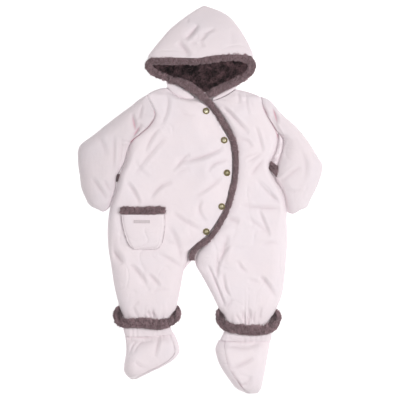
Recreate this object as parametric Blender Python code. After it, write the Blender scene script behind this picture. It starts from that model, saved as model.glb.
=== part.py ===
"""Baby snowsuit with a hood, mitten-ended sleeves and bootees, laid flat on its back with its front up.

The suit is padded cloth, so each piece is a closed wall. Back pieces lie on the ground plane, z = 0, and
front pieces lie on them along one flat parting plane. +Y runs from the feet to the hood and +X to the
wearer's left. Every outline is a table: one row for each section down the garment, one named column for
each edge. Metres throughout.
"""

import bmesh
import bpy
import numpy as np
from mathutils import Vector

GAP = 0.0003  # clear space between two pieces that are sewn together or lie on each other
PARTING = 0.012  # height of the plane between the back and the front pieces
RIM = 0.002  # thickness of a padded piece at its seams
EDGE_ROUND = 0.030  # how far in from a seam the padding reaches its full height
BACK_PAD = 0.016  # height that the back's padding would have if the ground did not press it flat
LAP_THICK = 0.005  # pressed thickness of the left front where it runs on under the right one
LAP_RISE = 0.030  # length over which the left front swells to its full height beside the wrap
PLACKET = 0.060  # width of the flatter band along the wrap, where the snaps sit
PLACKET_HEIGHT = 0.50  # share of the full height that the padding has in that band
PLACKET_LIFT = 0.00336  # how far the left front under the wrap lifts the band
LIFT_FADE = (0.02, 0.09)  # that lift dies away between these distances from the wrap's edge
WRAP_ROUND = 0.008  # how far in from the wrap's edge the padding reaches its height
FOLD_FADE = 0.02  # the folds start this far in from the seams
HOOD_WALL = 0.008  # padded wall of the hood
LINING_THICK = 0.004  # pile lining on the floor of the hood
POCKET_PAD = 0.0040  # height of the patch pocket over the front that carries it
SNAP_RADIUS = 0.0068
SNAP_DOME = 0.0022
SNAP_RING = 0.0013  # height of the rim that the cap stands in
TRIM_SIDES = 6  # sides of a fur roll's cross-section
BAND_ROUND = 0.012  # how far in a bootee's ankle band reaches its full thickness
FOOT_ROUND = 0.024  # the same for its foot
BAND_MIDDLE = (0.0185, 0.0190)  # height of the ankle band's middle, at the leg and at the foot


def table(text):
    """Reads rows under a heading line. A row's first word is its name, and the rest are its columns."""
    lines = [line.split() for line in text.strip().splitlines()]
    columns = {}
    for place, head in enumerate(lines[0][1:], start=1):
        columns[head] = np.array([float(line[place]) for line in lines[1:]])
    return columns


BODY_RIGHT = table("""
    section      side_x  side_y  wrap_x  wrap_y   mid_x   mid_y     bow   crown    over
    neck         -0.067   0.223  -0.009   0.201   0.004   0.213  -0.012   0.008   0.000
    shoulder     -0.085   0.220   0.005   0.191   0.004   0.205  -0.006   0.012   0.006
    shoulder_tip -0.104   0.209   0.015   0.182   0.004   0.197   0.000  0.0145   0.018
    armhole_1    -0.096   0.189   0.026   0.172   0.004   0.187   0.000   0.016   0.020
    armhole_2    -0.089   0.169   0.036   0.159   0.003   0.173   0.000  0.0165   0.023
    armhole_3    -0.101   0.147   0.044   0.145   0.002   0.157   0.000  0.0165   0.027
    armhole_4    -0.120   0.130   0.053   0.129   0.001   0.139   0.000  0.0165   0.029
    underarm     -0.135   0.117   0.060   0.117  -0.001   0.121   0.000  0.0165   0.032
    side_1       -0.144   0.097   0.064   0.095  -0.002   0.099   0.000   0.017   0.034
    side_2       -0.150   0.075   0.065   0.073  -0.003   0.075   0.000  0.0175   0.035
    cuff_level   -0.163   0.047   0.064   0.045  -0.004   0.049   0.000   0.018   0.036
    waist_1      -0.169   0.019   0.058   0.017  -0.005   0.019   0.000   0.018   0.037
    waist_2      -0.179  -0.013   0.050  -0.015  -0.007  -0.013   0.000   0.018   0.039
    hip_1        -0.184  -0.041   0.036  -0.041  -0.009  -0.041   0.000   0.018   0.041
    hip_2        -0.185  -0.071   0.013  -0.072  -0.011  -0.071   0.000   0.018   0.037
    seat         -0.183  -0.101  -0.021  -0.102  -0.015  -0.101   0.000  0.0175   0.014
    crotch       -0.179  -0.125  -0.026  -0.125  -0.018  -0.123   0.000   0.017   0.000
    thigh        -0.176  -0.145  -0.033  -0.143  -0.033  -0.143   0.000   0.017   0.000
    knee         -0.172  -0.171  -0.038  -0.171  -0.038  -0.171   0.000   0.017   0.000
    shin         -0.165  -0.201  -0.044  -0.201  -0.044  -0.201   0.000   0.016   0.000
    hem          -0.154  -0.235  -0.053  -0.236  -0.053  -0.236  -0.002  0.0135   0.000
""")

BODY_LEFT = table("""
    section      side_x  side_y   lap_x   lap_y   mid_x   mid_y     bow   crown     lap
    neck          0.072   0.220   0.015   0.195   0.005   0.213  -0.005   0.009   0.010
    shoulder      0.098   0.214   0.009   0.187   0.005   0.205  -0.002   0.012   0.024
    shoulder_tip  0.120   0.204   0.007   0.177   0.005   0.197   0.000  0.0145   0.032
    armhole_1     0.124   0.189   0.011   0.167   0.004   0.187   0.000   0.016   0.036
    armhole_2     0.135   0.163   0.018   0.151   0.003   0.167   0.000  0.0165   0.040
    armhole_3     0.151   0.137   0.026   0.133   0.002   0.143   0.000  0.0165   0.042
    underarm      0.155   0.121   0.030   0.115   0.001   0.123   0.000  0.0165   0.042
    side_1        0.151   0.099   0.032   0.095  -0.001   0.099   0.000  0.0165   0.043
    cuff_level    0.140   0.069   0.032   0.071  -0.002   0.073   0.000   0.017   0.043
    side_2        0.148   0.043   0.030   0.045  -0.003   0.045   0.000  0.0175   0.043
    waist_1       0.165   0.013   0.022   0.013  -0.005   0.013   0.000   0.018   0.044
    waist_2       0.172  -0.017   0.011  -0.017  -0.007  -0.017   0.000   0.018   0.046
    hip_1         0.173  -0.045  -0.005  -0.045  -0.009  -0.045   0.000   0.018   0.051
    hip_2         0.174  -0.081  -0.021  -0.083  -0.013  -0.081   0.000  0.0175   0.040
    seat          0.173  -0.105  -0.014  -0.109  -0.016  -0.107   0.000   0.017   0.014
    crotch        0.171  -0.129  -0.009  -0.130  -0.009  -0.130   0.000   0.017   0.008
    thigh         0.168  -0.159   0.007  -0.159   0.007  -0.159   0.000   0.017   0.000
    knee          0.164  -0.187   0.022  -0.187   0.022  -0.187   0.000   0.017   0.000
    shin          0.156  -0.209   0.034  -0.211   0.034  -0.211  -0.006   0.016   0.000
    hem           0.142  -0.235   0.049  -0.237   0.049  -0.237  -0.013  0.0135   0.000
""")

SEAM_TOP = (0.004, 0.213)  # the back's straight middle seam, from the neck
CROTCH = (-0.0165, -0.120)

# A sleeve's rows are the body's from shoulder_tip on: its inner edge is the body's side edge there.
# cuff is how far the sleeve stands off the body where its mitten opening shows.
SLEEVE_FROM = 2

SLEEVE_RIGHT = table("""
    section        out_x   out_y   crown   cuff
    shoulder_tip  -0.106   0.209   0.010   0.000
    armhole_1     -0.123   0.199   0.013   0.000
    armhole_2     -0.139   0.186   0.015   0.000
    armhole_3     -0.157   0.173   0.017   0.000
    armhole_4     -0.183   0.153   0.018   0.000
    underarm      -0.213   0.129   0.018   0.000
    side_1        -0.241   0.106   0.018   0.000
    side_2        -0.244   0.077   0.018   0.004
    cuff_level    -0.241   0.051   0.018   0.007
    waist_1       -0.233   0.013   0.017   0.002
    waist_2       -0.200  -0.021   0.010   0.000
""")

SLEEVE_LEFT = table("""
    section        out_x   out_y   crown   cuff
    shoulder_tip   0.121   0.206   0.010   0.000
    armhole_1      0.140   0.197   0.013   0.000
    armhole_2      0.164   0.170   0.015   0.000
    armhole_3      0.191   0.146   0.017   0.000
    underarm       0.215   0.117   0.018   0.009
    side_1         0.235   0.085   0.018   0.012
    cuff_level     0.244   0.068   0.018   0.014
    side_2         0.239   0.040   0.018   0.004
    waist_1        0.222   0.004   0.017   0.000
    waist_2        0.189  -0.024   0.010   0.000
""")

HOOD_RIGHT = table("""
    section    out_x   out_y   mid_x   mid_y   bow    thick
    peak       0.004   0.386   0.009   0.387   0.000  0.010
    point     -0.013   0.376   0.007   0.374   0.000  0.017
    crown_1   -0.033   0.362   0.003   0.359   0.000  0.024
    crown_2   -0.060   0.340  -0.003   0.343   0.000  0.030
    crown_3   -0.081   0.316  -0.005   0.321   0.000  0.034
    brow_1    -0.097   0.296  -0.007   0.301   0.000  0.036
    brow      -0.104   0.285  -0.004   0.285   0.001  0.036
    cheek_1   -0.104   0.268  -0.001   0.268   0.000  0.036
    cheek_2   -0.095   0.253   0.002   0.252   0.000  0.036
    cheek_3   -0.080   0.239   0.004   0.233   0.000  0.036
    nape      -0.067   0.2238  0.004   0.2138  0.000  0.036
""")

HOOD_LEFT = table("""
    section    out_x   out_y   mid_x   mid_y   bow    thick
    peak       0.014   0.386   0.009   0.387   0.000  0.010
    point      0.043   0.375   0.007   0.374   0.000  0.017
    crown_1    0.061   0.362   0.003   0.359   0.000  0.024
    crown_2    0.077   0.343  -0.003   0.343   0.000  0.030
    crown_3    0.091   0.321  -0.005   0.321   0.000  0.034
    brow_1     0.100   0.303  -0.007   0.301   0.000  0.036
    brow       0.105   0.290  -0.004   0.285   0.006  0.036
    cheek_1    0.105   0.269  -0.001   0.268   0.000  0.036
    cheek_2    0.100   0.253   0.002   0.252   0.000  0.036
    cheek_3    0.088   0.238   0.004   0.233   0.000  0.036
    nape       0.073   0.2208  0.004   0.2138  0.000  0.036
""")
BROW_ROW = 6  # rows above this one have an upper layer; below it the hood is open
LINING_ROW = 3  # the lining is made from this row down

COLLAR_RIGHT = table("""
    section   top_x   top_y   low_x   low_y   crown
    end_side  -0.066   0.2300  -0.066   0.2238  0.004
    side      -0.057   0.2270  -0.058   0.2143  0.006
    middle    -0.044   0.2220  -0.044   0.2038  0.007
    front     -0.030   0.2150  -0.030   0.1992  0.007
    wrap      -0.018   0.2070  -0.018   0.1992  0.005
    end_wrap  -0.013   0.2035  -0.012   0.2015  0.003
""")

COLLAR_LEFT = table("""
    section   top_x   top_y   low_x   low_y   crown
    end_wrap   0.030   0.2030   0.029   0.1985  0.003
    front      0.044   0.2095   0.043   0.2031  0.005
    side       0.059   0.2180   0.058   0.2113  0.006
    end_side   0.072   0.2250   0.070   0.2198  0.004
""")

# A fur roll follows the middle of its section: wide and high are half its width and half its height.
HOOD_TRIM = table("""
    place         x      y      z     wide   high
    end_right  -0.071  0.243  0.021  0.005  0.0055
    jaw_right  -0.081  0.249  0.021  0.006  0.006
    cheek      -0.094  0.257  0.022  0.006  0.0065
    tip_right  -0.101  0.266  0.024  0.006  0.007
    temple     -0.097  0.274  0.027  0.006  0.007
    brow_1     -0.082  0.276  0.030  0.007  0.007
    brow_2     -0.060  0.277  0.031  0.007  0.007
    brow_3     -0.032  0.276  0.031  0.007  0.007
    brow_4     -0.005  0.276  0.031  0.007  0.007
    brow_5      0.024  0.280  0.031  0.007  0.007
    brow_6      0.050  0.283  0.030  0.007  0.007
    brow_7      0.073  0.284  0.029  0.007  0.007
    temple_l    0.090  0.281  0.027  0.007  0.007
    tip_left    0.100  0.272  0.024  0.007  0.007
    cheek_l     0.101  0.261  0.022  0.007  0.007
    jaw_left    0.093  0.249  0.021  0.007  0.007
    chin_1      0.075  0.237  0.021  0.008  0.007
    chin_2      0.052  0.225  0.022  0.008  0.007
    chin_3      0.035  0.217  0.023  0.007  0.007
    end_left    0.025  0.211  0.024  0.006  0.006
""")

FRONT_TRIM = table("""
    place         x      y      z     wide   high
    end_neck   -0.057  0.233  0.026  0.0035 0.004
    neck_1     -0.041  0.233  0.027  0.0065 0.006
    neck_2     -0.023  0.226  0.028  0.0075 0.007
    neck_3     -0.004  0.213  0.029  0.0075 0.007
    throat      0.015  0.195  0.028  0.0068 0.007
    chest_1     0.034  0.171  0.026  0.0058 0.0062
    chest_2     0.052  0.143  0.025  0.0056 0.0058
    chest_3     0.0668 0.113  0.025  0.0056 0.0058
    belly_1     0.071  0.077  0.025  0.0056 0.0058
    belly_2     0.0695 0.043  0.025  0.0056 0.0058
    belly_3     0.063  0.011  0.025  0.0056 0.0058
    belly_4     0.0545 -0.018 0.025  0.0056 0.0058
    hip_1       0.0405 -0.046 0.025  0.0056 0.0058
    hip_2       0.0205 -0.0755 0.025  0.0056 0.0058
    seat_1     -0.005 -0.094  0.025  0.0056 0.0058
    seat_2     -0.0155 -0.108 0.0245 0.0056 0.006
    crotch     -0.0175 -0.124 0.023  0.0050 0.006
""")

RING_RIGHT = table("""
    place         x      y      z     wide   high
    front_1    -0.163 -0.243  0.028  0.008  0.007
    front_2    -0.144 -0.247  0.035  0.009  0.007
    front_3    -0.118 -0.246  0.0362 0.009  0.007
    front_4    -0.090 -0.248  0.0362 0.009  0.007
    front_5    -0.066 -0.246  0.035  0.009  0.007
    front_6    -0.049 -0.239  0.026  0.008  0.007
    tip_in     -0.0385 -0.227 0.015  0.005  0.007
    back_1     -0.048 -0.2205  0.0062 0.006  0.0055
    back_2     -0.081 -0.217  0.0060 0.006  0.0055
    back_3     -0.111 -0.217  0.0060 0.006  0.0055
    back_4     -0.141 -0.217  0.0060 0.006  0.0055
    back_5     -0.164 -0.2215 0.0062 0.006  0.0055
    tip_out    -0.1735 -0.232 0.016  0.006  0.007
""")

RING_LEFT = table("""
    place         x      y      z     wide   high
    front_1     0.039 -0.249  0.028  0.008  0.007
    front_2     0.057 -0.254  0.035  0.009  0.007
    front_3     0.080 -0.258  0.0362 0.009  0.007
    front_4     0.107 -0.259  0.0362 0.009  0.007
    front_5     0.132 -0.258  0.035  0.009  0.007
    front_6     0.150 -0.249  0.026  0.008  0.007
    tip_out     0.1595 -0.235 0.015  0.005  0.007
    back_1      0.151 -0.2275 0.0062 0.006  0.0055
    back_2      0.123 -0.225  0.0060 0.006  0.0055
    back_3      0.096 -0.226  0.0060 0.006  0.0055
    back_4      0.064 -0.226  0.0060 0.006  0.0055
    back_5      0.041 -0.2295 0.0062 0.006  0.0055
    tip_in      0.032 -0.239  0.016  0.006  0.007
""")
BACK_HEM_RIGHT = 19.25  # section number where the right leg's back piece ends, above the roll behind it
BACK_HEM_LEFT = 18.25

# Bootees: heel_x, heel_y run down the sole's side of the foot, and top_x, top_y down the other side.
BAND_RIGHT = table("""
    section    top_x   top_y  heel_x  heel_y  thick
    inside    -0.150  -0.239  -0.058  -0.239  0.016
    neck      -0.153  -0.259  -0.058  -0.256  0.0215
    end       -0.150  -0.272  -0.052  -0.268  0.026
""")
FOOT_RIGHT = table("""
    section    top_x   top_y  heel_x  heel_y  thick  sole
    ankle     -0.150  -0.2727 -0.051  -0.2687 0.028  0.008
    heel_1    -0.148  -0.289  -0.044  -0.285  0.036  0.009
    heel      -0.148  -0.304  -0.041  -0.303  0.040  0.009
    foot_1    -0.150  -0.318  -0.051  -0.318  0.041  0.009
    foot_2    -0.152  -0.331  -0.072  -0.332  0.041  0.009
    foot_3    -0.152  -0.342  -0.095  -0.343  0.039  0.009
    toe_1     -0.146  -0.352  -0.115  -0.353  0.034  0.008
    toe       -0.138  -0.359  -0.128  -0.359  0.022  0.004
""")
BAND_LEFT = table("""
    section    top_x   top_y  heel_x  heel_y  thick
    inside     0.138  -0.252   0.052  -0.252  0.016
    neck       0.143  -0.268   0.046  -0.266  0.0215
    end        0.141  -0.281   0.039  -0.280  0.026
""")
FOOT_LEFT = table("""
    section    top_x   top_y  heel_x  heel_y  thick  sole
    ankle      0.140  -0.2817  0.037  -0.2807 0.028  0.012
    heel       0.137  -0.299   0.030  -0.297  0.036  0.018
    foot_1     0.133  -0.320   0.034  -0.318  0.040  0.018
    foot_2     0.130  -0.338   0.042  -0.336  0.041  0.017
    foot_3     0.126  -0.357   0.056  -0.357  0.041  0.015
    toe_1      0.122  -0.376   0.072  -0.377  0.036  0.013
    toe        0.115  -0.387   0.092  -0.387  0.024  0.006
""")

POCKET = table("""
    section    left_x  right_x    y
    mouth     -0.1580  -0.0700 -0.0302
    middle    -0.1560  -0.0695 -0.047
    lower     -0.1520  -0.0710 -0.065
    corner    -0.1440  -0.0760 -0.085
    foot      -0.1320  -0.0860 -0.099
""")
POCKET_TRIM = table("""
    place         x      y     wide   high
    end_side   -0.159  -0.021  0.004  0.0030
    side       -0.152  -0.0215 0.0072 0.0046
    middle_1   -0.133  -0.0222 0.0074 0.0048
    middle_2   -0.113  -0.0224 0.0074 0.0048
    middle_3   -0.093  -0.0218 0.0074 0.0048
    front      -0.077  -0.0208 0.0074 0.0046
    end_front  -0.070  -0.0205 0.004  0.0030
""")
LABEL = {"x": (-0.132, -0.100), "y": (-0.047, -0.041), "thick": 0.0008}

SNAPS = table("""
    snap      x      y
    snap_1  0.0115  0.1760
    snap_2  0.0475  0.1180
    snap_3  0.0530  0.0530
    snap_4  0.0425 -0.0140
    snap_5  0.0120 -0.0640
""")

# The largest folds in the front: troughs between two points, with their depth and half-width.
FOLDS = table("""
    fold          from_x  from_y   to_x    to_y   deep    wide
    shoulder_dip  -0.092   0.165  -0.104   0.190  0.003   0.007
    chest_sag      0.040   0.105  -0.018   0.079  0.005   0.010
    belly_1       -0.020   0.075  -0.056   0.055  0.005   0.010
    belly_2        0.040   0.047  -0.012   0.007  0.004   0.010
    belly_3       -0.056   0.035  -0.100   0.003  0.005   0.010
    pocket_top    -0.146   0.025  -0.120  -0.012  0.004   0.009
    lap_1          0.004  -0.002  -0.001  -0.034  0.003   0.008
    lap_2         -0.056  -0.029  -0.012  -0.060  0.004   0.010
    collar_left    0.056   0.180   0.094   0.132  0.005   0.009
    side_left      0.100   0.110   0.124   0.095  0.003   0.008
    hip_left_1     0.080  -0.010   0.160  -0.018  0.004   0.010
    hip_left_2     0.124   0.039   0.160  -0.008  0.004   0.010
    leg_left       0.052  -0.070   0.044  -0.125  0.003   0.010
    knee_right    -0.140  -0.140  -0.075  -0.175  0.003   0.012
    knee_left      0.055  -0.150   0.130  -0.185  0.003   0.012
""")

SHELL = {"name": "padded_shell", "colour": (0.86, 0.76, 0.79), "roughness": 0.55, "metallic": 0.0}
FUR = {"name": "pile_trim", "colour": (0.20, 0.145, 0.15), "roughness": 0.95, "metallic": 0.0}
LINING = {"name": "pile_lining", "colour": (0.10, 0.07, 0.075), "roughness": 0.98, "metallic": 0.0}
TAPE = {"name": "woven_tape", "colour": (0.80, 0.72, 0.74), "roughness": 0.7, "metallic": 0.0}
BRASS = {"name": "brass_cap", "colour": (0.62, 0.50, 0.30), "roughness": 0.35, "metallic": 1.0}
BRASS_RIM = {"name": "brass_rim", "colour": (0.30, 0.24, 0.15), "roughness": 0.45, "metallic": 1.0}


def clear_scene():
    for thing in list(bpy.data.objects):
        bpy.data.objects.remove(thing, do_unlink=True)


def material(finish):
    found = bpy.data.materials.get(finish["name"])
    if found:
        return found
    made = bpy.data.materials.new(finish["name"])
    made.use_nodes = True
    shader = made.node_tree.nodes["Principled BSDF"]
    shader.inputs["Base Color"].default_value = (*finish["colour"], 1.0)
    shader.inputs["Roughness"].default_value = finish["roughness"]
    shader.inputs["Metallic"].default_value = finish["metallic"]
    return made


def place_object(name, vertices, faces, finish, sharp_angle=0.7):
    """A named object from points and faces, its normals turned outwards and its round faces smooth."""
    mesh = bpy.data.meshes.new(name)
    mesh.from_pydata([tuple(v) for v in vertices], [], [tuple(f) for f in faces])
    work = bmesh.new()
    work.from_mesh(mesh)
    bmesh.ops.delete(work, geom=[v for v in work.verts if not v.link_faces], context="VERTS")
    bmesh.ops.recalc_face_normals(work, faces=work.faces)
    work.to_mesh(mesh)
    work.free()
    mesh.shade_smooth()
    mesh.set_sharp_from_angle(angle=sharp_angle)
    mesh.materials.append(material(finish))
    thing = bpy.data.objects.new(name, mesh)
    bpy.context.scene.collection.objects.link(thing)
    return thing


def smooth(column, at):
    """The column read at places between its rows, along a smooth curve through all of them."""
    padded = np.concatenate([[2 * column[0] - column[1]], column, [2 * column[-1] - column[-2]]])
    at = np.clip(np.asarray(at, float), 0, len(column) - 1)
    row = np.minimum(at.astype(int), len(column) - 2)
    t = at - row
    before, start, end, after = (padded[row + k] for k in range(4))
    bend = (end - before) * t + (2 * before - 5 * start + 4 * end - after) * t**2
    return start + 0.5 * (bend + (3 * start - before - 3 * end + after) * t**3)


def rise(distance, reach):
    """Quarter-round shoulder: 0 at a seam, 1 from reach inwards."""
    share = np.clip(distance / reach, 0, 1)
    return np.sqrt(1 - (1 - share) ** 2)


def ease(value, start, end):
    """0 up to start, 1 from end, and a soft step between."""
    share = np.clip((value - start) / (end - start), 0, 1)
    return share * share * (3 - 2 * share)


def across_steps(count):
    """Places from 0 to 1 across a piece, closer together at its two seams."""
    return 0.5 - 0.5 * np.cos(np.pi * np.arange(count + 1) / count)


def down_steps(first, last, per_row):
    """Section numbers from first to last, per_row of them to each row of the table."""
    return np.linspace(first, last, max(1, round((last - first) * per_row)) + 1)


def fold_depth(x, y):
    """How far the folds lower the front at each place: a soft trough that fades at both its ends."""
    total = np.zeros_like(x)
    for i in range(len(FOLDS["deep"])):
        run_x = FOLDS["to_x"][i] - FOLDS["from_x"][i]
        run_y = FOLDS["to_y"][i] - FOLDS["from_y"][i]
        length = np.hypot(run_x, run_y)
        off_x = x - FOLDS["from_x"][i]
        off_y = y - FOLDS["from_y"][i]
        along = (off_x * run_x + off_y * run_y) / length**2
        aside = (off_x * run_y - off_y * run_x) / length
        fade = np.clip(1 - (2 * along - 1) ** 2, 0, 1)
        total += FOLDS["deep"][i] * fade * np.exp(-((aside / FOLDS["wide"][i]) ** 2))
    return total


def slab(name, upper, lower, finish, cells=None):
    """A closed wall between two grids of points of one size: both faces, and a rim where the cells end."""
    rows, columns = upper.shape[:2]
    if cells is None:
        cells = np.ones((rows - 1, columns - 1), bool)
    number = np.arange(rows * columns).reshape(rows, columns)
    corners = [number[:-1, :-1], number[:-1, 1:], number[1:, 1:], number[1:, :-1]]
    top = np.stack([corner[cells] for corner in corners], axis=1)
    bottom = top[:, ::-1] + rows * columns
    starts = top.reshape(-1)
    ends = np.roll(top, -1, axis=1).reshape(-1)
    taken = set(zip(starts.tolist(), ends.tolist()))
    rim = [(b, a, a + rows * columns, b + rows * columns) for a, b in taken if (b, a) not in taken]
    vertices = np.concatenate([upper.reshape(-1, 3), lower.reshape(-1, 3)])
    return place_object(name, vertices, [*top.tolist(), *bottom.tolist(), *sorted(rim)], finish)


def plan(rows, first_edge, second_edge, down, across):
    """Where a piece's points lie in plan: straight across from edge to edge, bowed by the bow column."""
    edges = (first_edge, second_edge)
    ends = [smooth(rows[f"{edge}_{axis}"], down)[:, None] for edge in edges for axis in "xy"]
    u = across[None, :]
    x = ends[0] + (ends[2] - ends[0]) * u
    y = ends[1] + (ends[3] - ends[1]) * u
    if "bow" in rows:
        y = y + smooth(rows["bow"], down)[:, None] * 4 * u * (1 - u)
    width = np.hypot(ends[2] - ends[0], ends[3] - ends[1])
    return x, y, width * u, width * (1 - u)


def grid(x, y, z):
    return np.stack(np.broadcast_arrays(x, y, z), axis=2)


def front_right_heights(down, across):
    """Plan, under surface and upper surface of the right front, at section numbers and shares across."""
    x, y, from_side, from_wrap = plan(BODY_RIGHT, "side", "wrap", down, across)
    crown = smooth(BODY_RIGHT["crown"], down)[:, None]
    over = np.maximum(smooth(BODY_RIGHT["over"], down)[:, None], 0)
    lifted = 1 - ease(from_wrap, over + 0.001, over + 0.012)
    lifted = lifted * ease(over, 0.0, 0.008)
    lower = PARTING + GAP + (LAP_THICK + 3 * GAP) * lifted
    wrapped = ease(over, 0.0, 0.02)
    flatter = 1 - (1 - PLACKET_HEIGHT) * wrapped * (1 - ease(from_wrap, 0.0, PLACKET))
    round_wrap = EDGE_ROUND - (EDGE_ROUND - WRAP_ROUND) * wrapped
    height = crown * rise(from_side, EDGE_ROUND) * rise(from_wrap, round_wrap) * flatter
    lift = PLACKET_LIFT * wrapped * (1 - ease(from_wrap, *LIFT_FADE))
    folds = fold_depth(x, y) * rise(np.minimum(from_side, from_wrap), FOLD_FADE)
    upper = np.maximum(PARTING + GAP + RIM + height + lift - folds, lower + RIM)
    return x, y, lower, upper


def front_right_point(x, y):
    """The point of the right front's upper surface over one place in plan."""
    low, high = 0.0, len(BODY_RIGHT["crown"]) - 1.0
    for _ in range(40):
        down = (low + high) / 2
        side_x = smooth(BODY_RIGHT["side_x"], down)
        share = (x - side_x) / (smooth(BODY_RIGHT["wrap_x"], down) - side_x)
        side_y = smooth(BODY_RIGHT["side_y"], down)
        row_y = side_y + share * (smooth(BODY_RIGHT["wrap_y"], down) - side_y)
        if row_y > y:
            low = down
        else:
            high = down
    return front_right_heights(np.array([down]), np.array([share]))[3][0, 0]


def build_fronts():
    down = down_steps(0, len(BODY_RIGHT["crown"]) - 1, 2)
    x, y, lower, upper = front_right_heights(down, across_steps(15))
    slab("front_right", grid(x, y, upper), grid(x, y, lower), SHELL)

    down = down_steps(0, len(BODY_LEFT["crown"]) - 1, 2)
    x, y, from_lap, from_side = plan(BODY_LEFT, "lap", "side", down, across_steps(13))
    crown = smooth(BODY_LEFT["crown"], down)[:, None]
    lap = np.maximum(smooth(BODY_LEFT["lap"], down)[:, None], 0)
    swell = ease(from_lap, lap + 0.001, lap + 0.001 + LAP_RISE)
    swell = 1 - (1 - swell) * ease(lap, 0.0, 0.01)
    open_edge = (1 - rise(from_lap, EDGE_ROUND)) * (1 - ease(lap, 0.0, 0.01))
    full = crown * rise(from_side, EDGE_ROUND) * (1 - open_edge)
    height = (LAP_THICK - RIM) * (1 - swell) * rise(from_side, 0.01) + full * swell
    lower = np.full_like(x, PARTING + GAP)
    fade = swell * rise(np.minimum(from_side, from_lap), FOLD_FADE)
    upper = lower + RIM + np.maximum(height - fold_depth(x, y) * fade, 0)
    slab("front_left", grid(x, y, upper), grid(x, y, lower), SHELL)


def body_side(rows, down):
    return smooth(rows["side_x"], down), smooth(rows["side_y"], down)


def back_seam(rows, down):
    """The straight middle seam of the back down to the crotch, and below it the leg's inner edge."""
    y = smooth(rows["mid_y"], down)
    seam = SEAM_TOP[0] + (y - SEAM_TOP[1]) * (CROTCH[0] - SEAM_TOP[0]) / (CROTCH[1] - SEAM_TOP[1])
    return np.where(y > CROTCH[1], seam, smooth(rows["mid_x"], down)), y


def build_backs():
    for side, rows, hem, leg_rows, seam in (
        ("right", BODY_RIGHT, BACK_HEM_RIGHT, (16.0, 17.5), -GAP / 2),
        ("left", BODY_LEFT, BACK_HEM_LEFT, (14.5, 15.5), GAP / 2),
    ):
        down = np.append(np.arange(0, hem, 0.5), hem)
        mid_x, mid_y = back_seam(rows, down)
        side_x, side_y = body_side(rows, down)
        u = across_steps(12)[None, :]
        x = side_x[:, None] + (mid_x - side_x)[:, None] * u
        y = side_y[:, None] + (mid_y - side_y)[:, None] * u
        width = np.hypot(mid_x - side_x, mid_y - side_y)[:, None]
        from_side, from_mid = width * u, width * (1 - u)
        open_seam = rise(np.minimum(down, hem - down)[:, None], 0.5)
        # Down the middle seam the back stays flat; down a leg it rounds off as it does at the side.
        leg = ease(down, *leg_rows)[:, None]
        rounding = rise(from_side, EDGE_ROUND) * (1 - leg * (1 - rise(from_mid, EDGE_ROUND)))
        deep = RIM + BACK_PAD * rounding * (0.4 + 0.6 * open_seam)
        lower = np.maximum(PARTING - deep, 0)
        upper = np.full_like(x, PARTING)
        x = x + seam * u**4
        slab(f"back_{side}", grid(x, y, upper), grid(x, y, lower), SHELL)


def build_sleeves():
    """Each sleeve lies beside the body, its two halves meeting on the parting plane."""
    for side, rows, body, way in (
        ("right", SLEEVE_RIGHT, BODY_RIGHT, -1),
        ("left", SLEEVE_LEFT, BODY_LEFT, 1),
    ):
        down = down_steps(0, len(rows["crown"]) - 1, 2)
        in_x, in_y = body_side(body, down + SLEEVE_FROM)
        cuff = np.maximum(smooth(rows["cuff"], down), 0)
        in_x = in_x + way * (2 * GAP + cuff)
        out_x, out_y = smooth(rows["out_x"], down), smooth(rows["out_y"], down)
        u = across_steps(10)[None, :]
        x = in_x[:, None] + (out_x - in_x)[:, None] * u
        y = in_y[:, None] + (out_y - in_y)[:, None] * u
        width = np.hypot(out_x - in_x, out_y - in_y)[:, None]
        reach = np.minimum(EDGE_ROUND, 0.45 * width)
        rounding = rise(width * u, reach) * rise(width * (1 - u), reach)
        crown = smooth(rows["crown"], down)[:, None]
        lower = np.full_like(x, PARTING + GAP)
        upper = lower + RIM + np.maximum(crown * rounding - fold_depth(x, y) * rounding, 0)
        slab(f"sleeve_{side}_front", grid(x, y, upper), grid(x, y, lower), SHELL)
        flat = np.full_like(x, PARTING)
        ends = rise(np.minimum(down, down[-1] - down)[:, None], 1.0)
        deep = RIM + BACK_PAD * rounding * (0.35 + 0.65 * ends)
        slab(f"sleeve_{side}_back", grid(x, y, flat), grid(x, y, np.maximum(PARTING - deep, 0)), SHELL)

    # What shows of the mitten openings, between the sleeve's inner edge and the body.
    for name, rows, body, way, first, last, finish, pad in (
        ("cuff_left_casing", SLEEVE_LEFT, BODY_LEFT, 1, 4.15, 5.75, SHELL, 0.010),
        ("cuff_left_fur", SLEEVE_LEFT, BODY_LEFT, 1, 5.85, 6.75, FUR, 0.011),
        ("cuff_right_fur", SLEEVE_RIGHT, BODY_RIGHT, -1, 7.7, 8.6, FUR, 0.009),
    ):
        down = np.linspace(first, last, 9)
        body_x, body_y = body_side(body, down + SLEEVE_FROM)
        cuff = np.maximum(smooth(rows["cuff"], down), 10 * GAP)
        u = across_steps(6)[None, :]
        x = body_x[:, None] + way * (4 * GAP + (cuff[:, None] - 6 * GAP) * u)
        y = np.broadcast_to(body_y[:, None], x.shape)
        ends = rise(np.minimum(down - first, last - down)[:, None], 0.25)
        lower = np.full_like(x, PARTING + GAP)
        upper = lower + RIM + pad * np.sqrt(np.clip(4 * u * (1 - u), 0, 1)) * ends
        slab(name, grid(x, y, upper), grid(x, y, lower), finish)


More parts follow.
